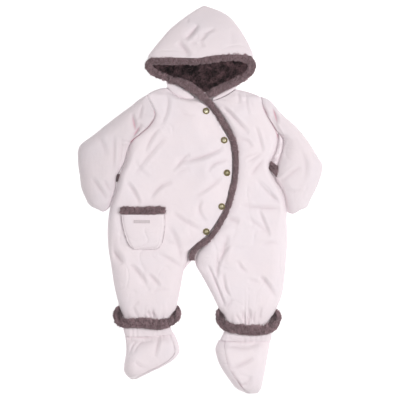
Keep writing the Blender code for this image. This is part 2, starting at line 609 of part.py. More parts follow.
def hood_surface(rows, down, turn, inset, way):
    """The hood's section: a flattened tube lying on the ground. turn 0 is the seam over the crown,
    a quarter turn its outer fold and a half turn the seam down the back. inset moves it inwards."""
    mid_x, mid_y, out_x, out_y, bow = (
        smooth(rows[c], down)[:, None] for c in ("mid_x", "mid_y", "out_x", "out_y", "bow")
    )
    half = smooth(rows["thick"], down)[:, None] / 2
    width = np.hypot(out_x - mid_x, out_y - mid_y)
    aside = np.sin(turn)[None, :] ** 0.6
    rise_up = np.sign(np.cos(turn)) * np.abs(np.cos(turn)) ** 0.6
    inset_up = np.minimum(inset, 0.92 * half)
    inset_out = np.minimum(inset, 0.45 * width)
    share = aside * (1 - inset_out / width)
    x = mid_x + way * GAP / 2 + (out_x - mid_x) * share
    y = mid_y + (out_y - mid_y) * share + bow * 4 * share * (1 - share)
    z = half + (half - inset_up) * rise_up[None, :]
    return grid(x, y, z)


def build_hood():
    turns = 12
    turn = np.linspace(0, np.pi, turns + 1)
    turn[0], turn[-1] = 1e-4, np.pi - 1e-4
    down = down_steps(0, len(HOOD_RIGHT["thick"]) - 1, 2)
    floor_from = 8  # first step round the section that belongs to the open part's floor
    for side, rows, way in (("right", HOOD_RIGHT, -1), ("left", HOOD_LEFT, 1)):
        outer = hood_surface(rows, down, turn, 0.0, way)
        inner = hood_surface(rows, down, turn, HOOD_WALL, way)
        cells = np.ones((len(down) - 1, turns), bool)
        cells[BROW_ROW * 2 :, :floor_from] = False
        slab(f"hood_{side}", outer, inner, SHELL, cells)

    lining_down = down_steps(LINING_ROW, len(HOOD_RIGHT["thick"]) - 1, 2)
    floor_turn = turn[floor_from:]
    layers = []
    for inset in (HOOD_WALL + GAP + LINING_THICK, HOOD_WALL + GAP):
        right = hood_surface(HOOD_RIGHT, lining_down, floor_turn, inset, -1)
        left = hood_surface(HOOD_LEFT, lining_down, floor_turn[:-1], inset, 1)
        layers.append(np.concatenate([right, left[:, ::-1]], axis=1))
    slab("hood_lining", layers[0], layers[1], LINING)


def build_collars():
    for name, rows in (("collar_right", COLLAR_RIGHT), ("collar_left", COLLAR_LEFT)):
        down = down_steps(0, len(rows["crown"]) - 1, 3)
        x, y, from_top, from_low = plan(rows, "top", "low", down, across_steps(6))
        crown = smooth(rows["crown"], down)[:, None]
        reach = np.maximum((from_top + from_low) / 2, 1e-4)
        lower = np.full_like(x, PARTING + 8 * GAP)
        upper = lower + RIM + crown * rise(from_top, reach) * rise(from_low, reach)
        slab(name, grid(x, y, upper), grid(x, y, lower), SHELL)


def roll(name, rows, finish, per_row, closed=False):
    """A fur roll: a flattened round section carried along the table's path, standing across it."""
    count = len(rows["x"])
    if closed:
        wrapped = {key: np.concatenate([column[-1:], column, column[:2]]) for key, column in rows.items()}
        down = 1 + np.arange(count * per_row) / per_row
    else:
        wrapped = rows
        down = down_steps(0, count - 1, per_row)
    centre = np.stack([smooth(wrapped[axis], down) for axis in "xyz"], axis=1)
    if closed:
        run = np.roll(centre, -1, axis=0) - np.roll(centre, 1, axis=0)
    else:
        run = np.gradient(centre, axis=0)
    run[:, 2] = 0
    run = run / np.linalg.norm(run, axis=1)[:, None]
    aside = np.stack([-run[:, 1], run[:, 0], np.zeros(len(run))], axis=1)
    wide, high = smooth(wrapped["wide"], down), smooth(wrapped["high"], down)
    turn = 2 * np.pi * (np.arange(TRIM_SIDES) + 0.5) / TRIM_SIDES
    rings = centre[:, None, :] + aside[:, None, :] * (wide[:, None] * np.cos(turn))[:, :, None]
    rings[:, :, 2] += high[:, None] * np.sin(turn)
    number = np.arange(rings.shape[0] * TRIM_SIDES).reshape(-1, TRIM_SIDES)
    following = np.roll(number, -1, axis=0) if closed else number[1:]
    leading = number if closed else number[:-1]
    faces = np.stack([leading, np.roll(leading, -1, 1), np.roll(following, -1, 1), following], axis=2)
    faces = faces.reshape(-1, 4).tolist()
    if not closed:
        faces += [number[0].tolist(), number[-1][::-1].tolist()]
    return place_object(name, rings.reshape(-1, 3), faces, finish, sharp_angle=1.2)


def build_bootees():
    for side, band, foot in (("right", BAND_RIGHT, FOOT_RIGHT), ("left", BAND_LEFT, FOOT_LEFT)):
        down = down_steps(0, 2, 2)
        x, y, from_top, from_heel = plan(band, "top", "heel", down, across_steps(10))
        half = smooth(band["thick"], down)[:, None] / 2
        middle = np.linspace(*BAND_MIDDLE, len(down))[:, None]
        bulge = RIM / 2 + (half - RIM / 2) * rise(from_top, BAND_ROUND) * rise(from_heel, BAND_ROUND)
        slab(f"bootee_{side}_band", grid(x, y, middle + bulge), grid(x, y, middle - bulge), SHELL)

        last = len(foot["thick"]) - 1
        down = down_steps(0, last, 1.5)
        sole = smooth(foot["sole"], down)[:, None]
        half = smooth(foot["thick"], down)[:, None] / 2
        edge_x, edge_y, from_top, _ = plan(foot, "top", "heel", down, np.array([0.0, 1.0]))
        width = from_top[:, 1:]
        limit = 1 - sole / width
        sole_from = limit + GAP / width
        for part, first, end, steps in (("upper", 0 * limit, limit, 8), ("sole", sole_from, 1, 3)):
            share = first + (end - first) * across_steps(steps)[None, :]
            x = edge_x[:, :1] + (edge_x[:, 1:] - edge_x[:, :1]) * share
            y = edge_y[:, :1] + (edge_y[:, 1:] - edge_y[:, :1]) * share
            rounding = rise(width * share, FOOT_ROUND) * rise(width * (1 - share), FOOT_ROUND)
            bulge = RIM / 2 + (half - RIM / 2) * rounding
            over, under = grid(x, y, half + bulge), grid(x, y, np.maximum(half - bulge, 0))
            if part == "sole":
                slab(f"bootee_{side}_sole", over, under, SHELL)
                continue
            slab(f"bootee_{side}_upper", over, grid(x, y, half + GAP / 2), SHELL)
            slab(f"bootee_{side}_under", grid(x, y, half - GAP / 2), under, SHELL)


def build_pocket():
    """The pocket is the right front's own surface, moved out: first clear of it, then by its padding."""
    down = down_steps(0, len(POCKET["y"]) - 1, 3)
    u = across_steps(10)
    left, right = smooth(POCKET["left_x"], down), smooth(POCKET["right_x"], down)
    x = left[:, None] + (right - left)[:, None] * u[None, :]
    y = np.broadcast_to(smooth(POCKET["y"], down)[:, None], x.shape)
    seat = np.array([[front_right_point(px, py) for px, py in zip(*pair)] for pair in zip(x, y)])
    width = (right - left)[:, None]
    edge = np.minimum(np.minimum(width * u, width * (1 - u)), 0.02 + 0 * x)
    from_foot = (y - POCKET["y"][-1]) + 0.002
    rounding = rise(edge, 0.02) * rise(from_foot, 0.02)
    lower = seat + 3 * GAP
    slab("pocket", grid(x, y, lower + RIM + POCKET_PAD * rounding), grid(x, y, lower), SHELL)

    top = {key: column.copy() for key, column in POCKET_TRIM.items()}
    top["z"] = np.array([front_right_point(px, py) for px, py in zip(top["x"], top["y"])])
    top["z"] = top["z"] + top["high"] + 2 * GAP
    roll("pocket_trim", top, FUR, 3)

    x, y = np.meshgrid(np.linspace(*LABEL["x"], 7), np.linspace(*LABEL["y"], 3))
    seat = np.array([[front_right_point(px, py) for px, py in zip(*pair)] for pair in zip(x, y)])
    lower = seat + 3 * GAP + RIM + POCKET_PAD + 2 * GAP
    slab("pocket_label", grid(x, y, lower + LABEL["thick"]), grid(x, y, lower), TAPE)


def turned(name, profile, place, tilt, finish):
    """A solid of revolution. Its profile is radius and height, from the under side to the top."""
    steps = 12
    angle = 2 * np.pi * np.arange(steps) / steps
    rings = [[(r * np.cos(a), r * np.sin(a), z) for a in angle] for r, z in profile]
    vertices = [point for ring in rings for point in ring]
    faces = []
    for i in range(len(profile) - 1):
        for j in range(steps):
            k = (j + 1) % steps
            faces.append((i * steps + j, i * steps + k, (i + 1) * steps + k, (i + 1) * steps + j))
    faces.append(list(range(steps))[::-1])
    faces.append([(len(profile) - 1) * steps + j for j in range(steps)])
    thing = place_object(name, vertices, faces, finish)
    thing.location = place
    thing.rotation_mode = "QUATERNION"
    thing.rotation_quaternion = Vector((0, 0, 1)).rotation_difference(tilt)
    return thing


def build_snaps():
    """Each snap is a domed cap standing in a shallow rim, square to the cloth that it is pressed through."""
    probe = 0.006
    for i, (x, y) in enumerate(zip(SNAPS["x"], SNAPS["y"]), start=1):
        z = front_right_point(x, y)
        slope_x = (front_right_point(x + probe, y) - front_right_point(x - probe, y)) / (2 * probe)
        slope_y = (front_right_point(x, y + probe) - front_right_point(x, y - probe)) / (2 * probe)
        tilt = Vector((-slope_x, -slope_y, 1)).normalized()
        seat = Vector((x, y, z)) + tilt * 1.5 * GAP
        rim = [(SNAP_RADIUS * 0.96, 0.0), (SNAP_RADIUS, 0.0004), (SNAP_RADIUS * 0.97, SNAP_RING)]
        turned(f"snap_{i}_ring", rim, seat, tilt, BRASS_RIM)
        radius = SNAP_RADIUS * 0.84
        arc = np.linspace(0.2, np.pi / 2 - 0.2, 3)
        dome = [(radius, 0.0)] + [(radius * np.cos(a), SNAP_DOME * np.sin(a)) for a in arc]
        turned(f"snap_{i}", dome, seat + tilt * (SNAP_RING + GAP), tilt, BRASS)


def main():
    clear_scene()
    build_backs()
    build_fronts()
    build_sleeves()
    build_hood()
    build_collars()
    roll("hood_trim", HOOD_TRIM, FUR, 2)
    roll("front_trim", FRONT_TRIM, FUR, 2)
    roll("leg_right_trim", RING_RIGHT, FUR, 2, closed=True)
    roll("leg_left_trim", RING_LEFT, FUR, 2, closed=True)
    build_bootees()
    build_pocket()
    build_snaps()


main()
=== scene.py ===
"""Looks of a padded baby snowsuit, laid flat on its back: pale pink microfibre, pile trims, brass snaps."""

import bpy
import numpy as np
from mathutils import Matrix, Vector


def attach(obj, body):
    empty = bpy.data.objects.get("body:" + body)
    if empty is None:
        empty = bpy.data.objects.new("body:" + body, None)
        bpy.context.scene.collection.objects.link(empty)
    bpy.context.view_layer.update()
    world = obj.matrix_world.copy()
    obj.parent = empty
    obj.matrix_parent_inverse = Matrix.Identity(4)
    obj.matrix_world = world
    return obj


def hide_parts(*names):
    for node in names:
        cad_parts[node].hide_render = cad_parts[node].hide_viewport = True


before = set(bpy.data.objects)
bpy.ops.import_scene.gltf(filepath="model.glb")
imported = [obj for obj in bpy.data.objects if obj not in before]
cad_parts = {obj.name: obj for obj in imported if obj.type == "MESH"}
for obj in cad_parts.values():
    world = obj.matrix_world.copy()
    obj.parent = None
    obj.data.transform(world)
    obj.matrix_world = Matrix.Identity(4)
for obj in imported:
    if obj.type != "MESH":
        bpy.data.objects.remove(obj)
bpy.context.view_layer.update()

# ---- The table it lies on ------------------------------------------------------------------------
# A white light table and two softboxes, seen from straight above. The key light stands to the
# wearer's left, so folds shade softly towards the other side.


def softbox(name, place, aim, size, power):
    """A square area light at a place, turned to look at a point."""
    data = bpy.data.lights.new(name, "AREA")
    data.shape = "SQUARE"
    data.size = size
    data.energy = power
    lamp = bpy.data.objects.new(name, data)
    bpy.context.scene.collection.objects.link(lamp)
    lamp.location = place
    lamp.rotation_mode = "QUATERNION"
    lamp.rotation_quaternion = (Vector(aim) - Vector(place)).to_track_quat("-Z", "Y")
    return lamp


softbox("key_light", (1.3, 0.15, 1.8), (0.0, 0.0, 0.0), 0.8, 23.5)
softbox("top_light", (-0.2, -0.2, 2.6), (0.0, -0.1, 0.0), 1.6, 26.0)

camera_height = 6.0
view_width = 0.8
camera_data = bpy.data.cameras.new("camera")
camera_data.sensor_width = 36.0
camera_data.lens = camera_data.sensor_width * camera_height / view_width
camera_data.clip_end = 20.0
camera = bpy.data.objects.new("camera", camera_data)
bpy.context.scene.collection.objects.link(camera)
camera.location = (-0.0005, -0.001, camera_height)
bpy.context.scene.camera = camera
bpy.context.scene.view_settings.view_transform = "Standard"

world = bpy.data.worlds.new("studio")
world.use_nodes = True
world.node_tree.nodes["Background"].inputs["Color"].default_value = (1.0, 0.985, 0.98, 1.0)
world.node_tree.nodes["Background"].inputs["Strength"].default_value = 0.32
bpy.context.scene.world = world

floor_mesh = bpy.data.meshes.new("floor")
floor_mesh.from_pydata([(-6, -6, 0), (6, -6, 0), (6, 6, 0), (-6, 6, 0)], [], [(0, 1, 2, 3)])
floor = bpy.data.objects.new("floor", floor_mesh)
bpy.context.scene.collection.objects.link(floor)
floor_finish = bpy.data.materials.new("light_table")
floor_finish.use_nodes = True
floor_shader = floor_finish.node_tree.nodes["Principled BSDF"]
floor_shader.inputs["Base Color"].default_value = (0.80, 0.80, 0.80, 1.0)
floor_shader.inputs["Roughness"].default_value = 1.0
floor_shader.inputs["Emission Color"].default_value = (1.0, 1.0, 1.0, 1.0)
floor_shader.inputs["Emission Strength"].default_value = 0.60
floor_mesh.materials.append(floor_finish)


# ---- Backs ---------------------------------------------------------------------------------------
# Two padded halves that carry the legs, joined down the middle of the back. Pale microfibre over
# fill, cut in rows from the neck down, pressed flat where they lie on the table.


def table(text):
    """Rows under a heading line: the first word names a row, the others are its columns."""
    lines = [line.split() for line in text.strip().splitlines()]
    columns = {"name": [line[0] for line in lines[1:]]}
    for place, head in enumerate(lines[0][1:], start=1):
        columns[head] = np.array([float(line[place]) for line in lines[1:]])
    return columns


def smooth(column, at):
    """The column read between its rows, along a cubic curve through all of them."""
    padded = np.concatenate([[2 * column[0] - column[1]], column, [2 * column[-1] - column[-2]]])
    at = np.clip(np.asarray(at, float), 0, len(column) - 1)
    row = np.minimum(at.astype(int), len(column) - 2)
    t = at - row
    before, start, end, after = (padded[row + k] for k in range(4))
    bend = (end - before) * t + (2 * before - 5 * start + 4 * end - after) * t**2
    return start + 0.5 * (bend + (3 * start - before - 3 * end + after) * t**3)


def rise(distance, reach):
    """Quarter-round shoulder: 0 at a seam, 1 from reach inwards."""
    return np.sqrt(1 - (1 - np.clip(distance / reach, 0, 1)) ** 2)


def ease(value, start, end):
    """0 up to start, 1 from end, and a soft step between."""
    share = np.clip((value - start) / (end - start), 0, 1)
    return share * share * (3 - 2 * share)


lattice = 97


def wander(x, y, size, seed):
    """Smooth random field from -1 to 1: random values on a square lattice, joined by soft steps."""
    values = np.random.default_rng(seed).uniform(-1, 1, (lattice, lattice))
    gx, gy = x / size + 40.3, y / size + 40.7
    i, j = np.floor(gx).astype(int), np.floor(gy).astype(int)
    u, v = gx - i, gy - j
    u, v = u * u * (3 - 2 * u), v * v * (3 - 2 * v)
    i, j, next_i, next_j = (number % lattice for number in (i, j, i + 1, j + 1))
    low = values[i, j] * (1 - u) + values[next_i, j] * u
    high = values[i, next_j] * (1 - u) + values[next_i, next_j] * u
    return low * (1 - v) + high * v


# Folds painted with full shade and rose light, and the strength of the painted shade in the others.
painted_rose_folds = {"r_cap", "r_armhole", "r_under", "l_under", "l_cap", "l_dimple"}
plain_fold_shade = 0.62
full_shade_deep = 0.005


def folded(x, y, rows):
    """Folds at each place: how far they lower the cloth, and how deep in a fold it lies, 0 to 1.

    A fold runs on a curve through three points. Its section is a pointed valley, exp(-distance/wide),
    in a broader soft trough, with a low ridge beside it, and it fades out towards both ends. The depth
    is the mask of painted shade, grey down in the folds; in the folds of the set above it is full, with
    painted rose light for the light that comes through two layers there."""
    lowered, depth = np.zeros_like(x), np.zeros_like(x)
    t = np.linspace(0, 1, 11)
    for k in range(len(rows["deep"])):
        a, m, b = (np.array([rows[f"x{n}"][k], rows[f"y{n}"][k]]) for n in "123")
        pull = 2 * m - (a + b) / 2
        path = np.outer((1 - t) ** 2, a) + np.outer(2 * t * (1 - t), pull) + np.outer(t * t, b)
        wide, deep = rows["wide"][k], rows["deep"][k]
        reach = 7 * wide
        near = (x > path[:, 0].min() - reach) & (x < path[:, 0].max() + reach)
        near &= (y > path[:, 1].min() - reach) & (y < path[:, 1].max() + reach)
        px, py = x[near][:, None], y[near][:, None]
        if px.size == 0:
            continue
        run = np.diff(path, axis=0)
        length = np.hypot(run[:, 0], run[:, 1])
        ox, oy = px - path[:-1, 0], py - path[:-1, 1]
        s = np.clip((ox * run[:, 0] + oy * run[:, 1]) / length**2, 0, 1)
        gap = np.hypot(ox - s * run[:, 0], oy - s * run[:, 1])
        best = gap.argmin(axis=1)
        pick = np.arange(len(best))
        along = (best + s[pick, best]) / (len(t) - 1)
        side = np.sign(run[best, 0] * oy[pick, best] - run[best, 1] * ox[pick, best])
        away = np.sqrt(gap[pick, best] ** 2 + (0.25 * wide) ** 2) - 0.25 * wide
        fade = np.clip(4 * along * (1 - along), 0, 1) ** 0.6
        valley = np.exp(-away / wide)
        trough = np.exp(-((away / (3.2 * wide)) ** 2))
        ridge = np.exp(-(((away - 2.4 * wide) / (1.3 * wide)) ** 2)) * (0.5 + 0.5 * side)
        lowered[near] += deep * fade * (0.75 * valley + 0.30 * trough - 0.35 * ridge)
        # How strongly this fold's depth paints shade into the cloth.
        tone = 1.0 if rows["name"][k] in painted_rose_folds else min(plain_fold_shade, deep / full_shade_deep)
        depth[near] = np.maximum(depth[near], fade * valley * tone)
    return lowered, depth


def crumpled(x, y, seed):
    """Light uneven wrinkles of a shell over fill: thin lines where bent noise passes 0, only in patches,
    on a slow swell of the fill."""
    bend_x = x + 0.012 * wander(x, y, 0.030, seed + 1)
    bend_y = y + 0.012 * wander(x, y, 0.030, seed + 2)
    patch = ease(wander(x, y, 0.045, seed + 6), -0.1, 0.6)
    line = np.exp(-np.abs(wander(bend_x, bend_y * 0.7, 0.030, seed + 3)) / 0.10)
    thin = np.exp(-np.abs(wander(bend_x * 0.7, bend_y, 0.016, seed + 4)) / 0.14)
    swell = wander(x, y, 0.060, seed + 5) + 0.4 * wander(x, y, 0.024, seed + 7)
    return 0.0017 * swell - patch * (0.0013 * line + 0.0006 * thin)


def make_piece(name, points, faces, finish, **fields):
    """A mesh object from an array of points and arrays of equal-sided faces, all turned outwards.

    fields are named numbers for each point, which the materials read."""
    volume = 0.0
    for block in faces:
        for k in range(1, block.shape[1] - 1):
            a, b, c = points[block[:, 0]], points[block[:, k]], points[block[:, k + 1]]
            volume += np.einsum("ij,ij->", a, np.cross(b, c))
    if volume < 0:
        faces = [block[:, ::-1] for block in faces]
    mesh = bpy.data.meshes.new(name)
    mesh.vertices.add(len(points))
    mesh.vertices.foreach_set("co", points.astype(np.float32).ravel())
    loops = np.concatenate([block.ravel() for block in faces]).astype(np.int32)
    sides = np.concatenate([np.full(len(block), block.shape[1]) for block in faces])
    mesh.loops.add(len(loops))
    mesh.loops.foreach_set("vertex_index", loops)
    mesh.polygons.add(len(sides))
    mesh.polygons.foreach_set("loop_start", (np.cumsum(sides) - sides).astype(np.int32))
    mesh.update(calc_edges=True)
    mesh.validate()
    mesh.shade_smooth()
    for field, values in fields.items():
        layer = mesh.attributes.new(field, "FLOAT", "POINT")
        layer.data.foreach_set("value", np.asarray(values, np.float32).ravel())
    if "crease" in fields:
        mesh.set_sharp_from_angle(angle=np.radians(58))
    mesh.materials.append(finish)
    piece = bpy.data.objects.new(name, mesh)
    bpy.context.scene.collection.objects.link(piece)
    return piece


def grid_faces(rows, columns):
    """Four-sided faces of a grid of points counted row by row, and the grid of their numbers."""
    number = np.arange(rows * columns).reshape(rows, columns)
    corners = (number[:-1, :-1], number[:-1, 1:], number[1:, 1:], number[1:, :-1])
    return np.stack([c.ravel() for c in corners], axis=1), number


def flat_cut(net, keep=True):
    """Flat size of a grid of points: its longest arcs across and down, and the area of its kept cells."""
    across = np.linalg.norm(np.diff(net, axis=1), axis=2).sum(axis=1)
    down = np.linalg.norm(np.diff(net, axis=0), axis=2).sum(axis=0)
    corner = net[:-1, :-1]
    cells = np.linalg.norm(np.cross(net[1:, :-1] - corner, net[:-1, 1:] - corner), axis=2)
    return [float(across.max()), float(down.max()), float((cells * keep).sum())]


def panel(name, x, y, fine, plain, depth, finish, outline=None):
    """A padded panel: a fine surface with its folds, and a plain face under or over it that is ruled
    straight across from edge to edge. The piece keeps the cut of its fine surface."""
    rows, columns = x.shape
    faces, number = grid_faces(rows, columns)
    left, right = number[:, 0], number[:, -1]
    rim_points = np.concatenate([number[0, :], number[1:-1, -1], number[-1, ::-1], number[-2:0:-1, 0]])
    height = plain if np.ndim(plain) else np.full(x.shape, plain)
    surface = np.stack([x, y, fine], axis=2).reshape(-1, 3)
    edge = np.stack([flat.ravel()[rim_points] for flat in (x, y, height)], axis=1)
    count = len(rim_points)
    mate = np.arange(count) + rows * columns
    walls = np.stack([rim_points, np.roll(rim_points, -1), np.roll(mate, -1), mate], axis=1)
    place = dict(zip(rim_points.tolist(), mate.tolist()))
    # The plain face: quads across between the two long edges, and a longer polygon at each end.
    left_mate = np.array([place[v] for v in left.tolist()])
    right_mate = np.array([place[v] for v in right.tolist()])
    ladder = np.stack([left_mate[1:-2], left_mate[2:-1], right_mate[2:-1], right_mate[1:-2]], axis=1)
    top_mates = np.array([place[v] for v in number[0].tolist()])
    low_mates = np.array([place[v] for v in number[-1].tolist()])
    head = np.concatenate([top_mates, [right_mate[1], left_mate[1]]])[None, ::-1]
    tail = np.concatenate([low_mates[::-1], [left_mate[-2], right_mate[-2]]])[None, ::-1]
    points = np.concatenate([surface, edge])
    blocks = [faces, walls[:, ::-1], ladder, head, tail]
    # The fold depth goes to the shell as the mask of its painted shade.
    crease = np.concatenate([depth.ravel(), np.zeros(count)])
    # A painted shadow line along edges that a caller marks.
    outline_all = np.concatenate([(0 * x if outline is None else outline).ravel(), np.zeros(count)])
    piece = make_piece(name + "_cloth", points, blocks, finish, crease=crease, outline=outline_all)
    piece["cut"] = flat_cut(surface.reshape(rows, columns, 3))
    return piece


def fix(piece, nodes):
    """Fixes a piece in the frame, in place of the plain nodes that it shows in full."""
    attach(piece, "root")
    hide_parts(*nodes)


def sew(piece, nodes):
    """Fixes a cloth panel in the frame."""
    fix(piece, nodes)


class Wire:
    """A shader socket that Python's operators work on: an expression on wires adds Math nodes."""

    def __init__(self, tree, socket):
        self.tree = tree
        self.socket = socket

    def math(self, kind, *others):
        """One Math node on this socket and the other values or wires."""
        node = self.tree.nodes.new("ShaderNodeMath")
        node.operation = kind
        for place, value in enumerate((self, *others)):
            if isinstance(value, Wire):
                self.tree.links.new(value.socket, node.inputs[place])
            else:
                node.inputs[place].default_value = value
        return Wire(self.tree, node.outputs[0])

    def __add__(self, other):
        return self.math("ADD", other)

    def __mul__(self, other):
        return self.math("MULTIPLY", other)

    def __sub__(self, other):
        return self.math("SUBTRACT", other)

    def __rsub__(self, other):
        return (self * -1.0) + other

    def __pow__(self, other):
        return self.math("POWER", other)

    __radd__ = __add__
    __rmul__ = __mul__

    def clamp(self):
        """The value held between 0 and 1."""
        return self.math("MAXIMUM", 0.0).math("MINIMUM", 1.0)


class Finish:
    """A material being put together around its Principled shader."""

    def __init__(self, name, **uniform):
        self.material = bpy.data.materials.new(name)
        self.material.use_nodes = True
        self.tree = self.material.node_tree
        self.shader = self.tree.nodes["Principled BSDF"]
        for socket, value in uniform.items():
            self.shader.inputs[socket.replace("_", " ")].default_value = value

    def node(self, kind, settings=None, inputs=None, output=0):
        """One node: its settings first, then the values or wires of its sockets."""
        made = self.tree.nodes.new(kind)
        for key, value in (settings or {}).items():
            setattr(made, key, value)
        for key, value in (inputs or {}).items():
            socket = made.inputs[key]
            if isinstance(value, Wire):
                self.tree.links.new(value.socket, socket)
            else:
                socket.default_value = value
        return Wire(self.tree, made.outputs[output])

    def place(self):
        """The place on the object, in metres."""
        return self.node("ShaderNodeTexCoord", output="Object")

    def field(self, name):
        """A named number that make_piece stored at each point."""
        return self.node("ShaderNodeAttribute", {"attribute_name": name}, output="Fac")

    def noise(self, scale, detail=2.0, rough=0.5):
        """Cloudy noise with so many clouds to a metre."""
        sockets = {"Vector": self.place(), "Scale": scale, "Detail": detail, "Roughness": rough}
        return self.node("ShaderNodeTexNoise", inputs=sockets)

    def blend(self, share, first, second):
        """first * (1 - share) + second * share, for colours."""
        sockets = {0: share, 6: (*first, 1.0) if isinstance(first, tuple) else first,
                   7: (*second, 1.0) if isinstance(second, tuple) else second}
        return self.node("ShaderNodeMix", {"data_type": "RGBA"}, sockets, output=2)

    def feed(self, socket, wire):
        self.tree.links.new(wire.socket, self.shader.inputs[socket])

    def bump(self, height, distance, strength):
        """Fine relief in the light only: height times distance, in metres."""
        self.feed("Normal", self.node("ShaderNodeBump", inputs={
            "Height": height, "Distance": distance, "Strength": strength}))


thread_pitch = 0.0008


def shell_finish(name, shade_tint=1.0):
    """Brushed microfibre: a fine plain weave, faint clouding, and painted shade and rose light in the folds.
    """
    cloth = Finish(name, Sheen_Weight=0.25, Sheen_Roughness=0.45, Specular_IOR_Level=0.35)
    cloud = cloth.noise(14.0, 3.0)
    # The multiplier darkens the cloth as painted shade on the parts that get it.
    pale = tuple(c * shade_tint for c in (0.845, 0.752, 0.782))
    cool = tuple(c * shade_tint for c in (0.825, 0.744, 0.780))
    # Painted shade: grey in the folds, rose light in the deepest, a dark line along marked edges.
    grey = (0.58, 0.47, 0.505)
    rose = (0.70, 0.37, 0.45)
    shade = (0.26, 0.19, 0.21)
    crease = cloth.field("crease")
    body = cloth.blend(((cloud - 0.42) * 4.0).clamp(), pale, cool)
    lined = cloth.blend((crease**1.7 * 1.15).clamp(), body, grey)
    with_painted_rose = cloth.blend(((crease - 0.56) * 2.3).clamp() * 0.85, lined, rose)
    cloth.feed("Base Color", cloth.blend(cloth.field("outline").clamp() * 0.7, with_painted_rose, shade))
    cloth.feed("Roughness", cloth.noise(60.0, 2.0) * 0.2 + 0.44)
    x, y, z = (cloth.node("ShaderNodeSeparateXYZ", inputs={0: cloth.place()}, output=k) for k in range(3))
    turns_per_metre = 2 * np.pi / thread_pitch
    weave = (x * turns_per_metre).math("SINE") * (y * turns_per_metre).math("SINE")
    crinkle = cloth.noise(95.0, 4.0, 0.6)
    cloth.bump(weave * 0.06 + crinkle, 0.0012, 0.55)
    return cloth.material


# One cloth throughout; the sleeves and the hood get darker copies of it, painted shade where the
# lights would leave them paler than the body.
shell = shell_finish("microfibre")
shaded_sleeve_shells = {"right": shell_finish("microfibre_right_sleeve_shaded", 0.89),
                 "left": shell_finish("microfibre_left_sleeve_shaded", 0.94)}
shaded_hood_shell = shell_finish("microfibre_hood_shaded", 0.95)

# gap is the clearance at a seam, parting the height where the back ends and the front begins, rim the
# least height of an edge and edge_round how far in the padding rounds up to its full height.
gap = 0.0003
parting = 0.012
rim = 0.002
edge_round = 0.030
back_pad = 0.016
thin_front = 0.0012
thin_back = 0.0015

body_right = table("""
    section      side_x  side_y  wrap_x  wrap_y   mid_x   mid_y   crown    over
    neck         -0.067   0.223  -0.006   0.2045  0.004   0.213   0.008   0.000
    shoulder     -0.085   0.220   0.0085  0.1940  0.004   0.205   0.012   0.006
    shoulder_tip -0.104   0.209   0.0185  0.1840  0.004   0.197  0.0145   0.018
    armhole_1    -0.096   0.189   0.028   0.173   0.004   0.187   0.016   0.020
    armhole_2    -0.089   0.169   0.036   0.159   0.003   0.173  0.0165   0.023
    armhole_3    -0.101   0.147   0.044   0.145   0.002   0.157  0.0165   0.027
    armhole_4    -0.120   0.130   0.053   0.129   0.001   0.139  0.0165   0.029
    underarm     -0.135   0.117   0.060   0.117  -0.001   0.121  0.0165   0.032
    side_1       -0.144   0.097   0.064   0.095  -0.002   0.099   0.017   0.034
    side_2       -0.150   0.075   0.065   0.073  -0.003   0.075  0.0175   0.035
    cuff_level   -0.163   0.047   0.064   0.045  -0.004   0.049   0.018   0.036
    waist_1      -0.169   0.019   0.058   0.017  -0.005   0.019   0.018   0.037
    waist_2      -0.179  -0.013   0.050  -0.015  -0.007  -0.013   0.018   0.039
    hip_1        -0.184  -0.041   0.036  -0.041  -0.009  -0.041   0.018   0.041
    hip_2        -0.185  -0.071   0.013  -0.072  -0.011  -0.071   0.018   0.037
    seat         -0.183  -0.101  -0.021  -0.102  -0.015  -0.101  0.0175   0.014
    crotch       -0.179  -0.125  -0.026  -0.125  -0.018  -0.123   0.017   0.000
    thigh        -0.176  -0.145  -0.033  -0.143  -0.033  -0.143   0.017   0.000
    knee         -0.172  -0.171  -0.038  -0.171  -0.038  -0.171   0.017   0.000
    shin         -0.165  -0.201  -0.044  -0.201  -0.044  -0.201   0.016   0.000
    hem          -0.152  -0.241  -0.0545 -0.241  -0.0545 -0.241  0.0135   0.000
    """)
right_bow = np.array([-0.012, -0.006] + [0.0] * 18 + [-0.003])

body_left = table("""
    section      side_x  side_y   lap_x   lap_y   mid_x   mid_y   crown     lap
    neck          0.072   0.220   0.015   0.195   0.005   0.213   0.009   0.010
    shoulder      0.098   0.214   0.009   0.187   0.005   0.205   0.012   0.024
    shoulder_tip  0.120   0.204   0.007   0.177   0.005   0.197  0.0145   0.032
    armhole_1     0.124   0.189   0.011   0.167   0.004   0.187   0.016   0.036
    armhole_2     0.135   0.163   0.018   0.151   0.003   0.167  0.0165   0.040
    armhole_3     0.151   0.137   0.026   0.133   0.002   0.143  0.0165   0.042
    underarm      0.155   0.121   0.030   0.115   0.001   0.123  0.0165   0.042
    side_1        0.151   0.099   0.032   0.095  -0.001   0.099  0.0165   0.043
    cuff_level    0.140   0.069   0.032   0.071  -0.002   0.073   0.017   0.043
    side_2        0.148   0.043   0.030   0.045  -0.003   0.045  0.0175   0.043
    waist_1       0.165   0.013   0.022   0.013  -0.005   0.013   0.018   0.044
    waist_2       0.172  -0.017   0.011  -0.017  -0.007  -0.017   0.018   0.046
    hip_1         0.173  -0.045  -0.005  -0.045  -0.009  -0.045   0.018   0.051
    hip_2         0.174  -0.081  -0.021  -0.083  -0.013  -0.081  0.0175   0.040
    seat          0.173  -0.105  -0.014  -0.109  -0.016  -0.107   0.017   0.014
    crotch        0.171  -0.129  -0.009  -0.130  -0.009  -0.130   0.017   0.008
    thigh         0.168  -0.159   0.007  -0.159   0.007  -0.159   0.017   0.000
    knee          0.164  -0.187   0.022  -0.187   0.022  -0.187   0.017   0.000
    shin          0.156  -0.209   0.034  -0.211   0.034  -0.211   0.016   0.000
    hem           0.1385 -0.244   0.0525 -0.245   0.0525 -0.245  0.0135   0.000
    """)
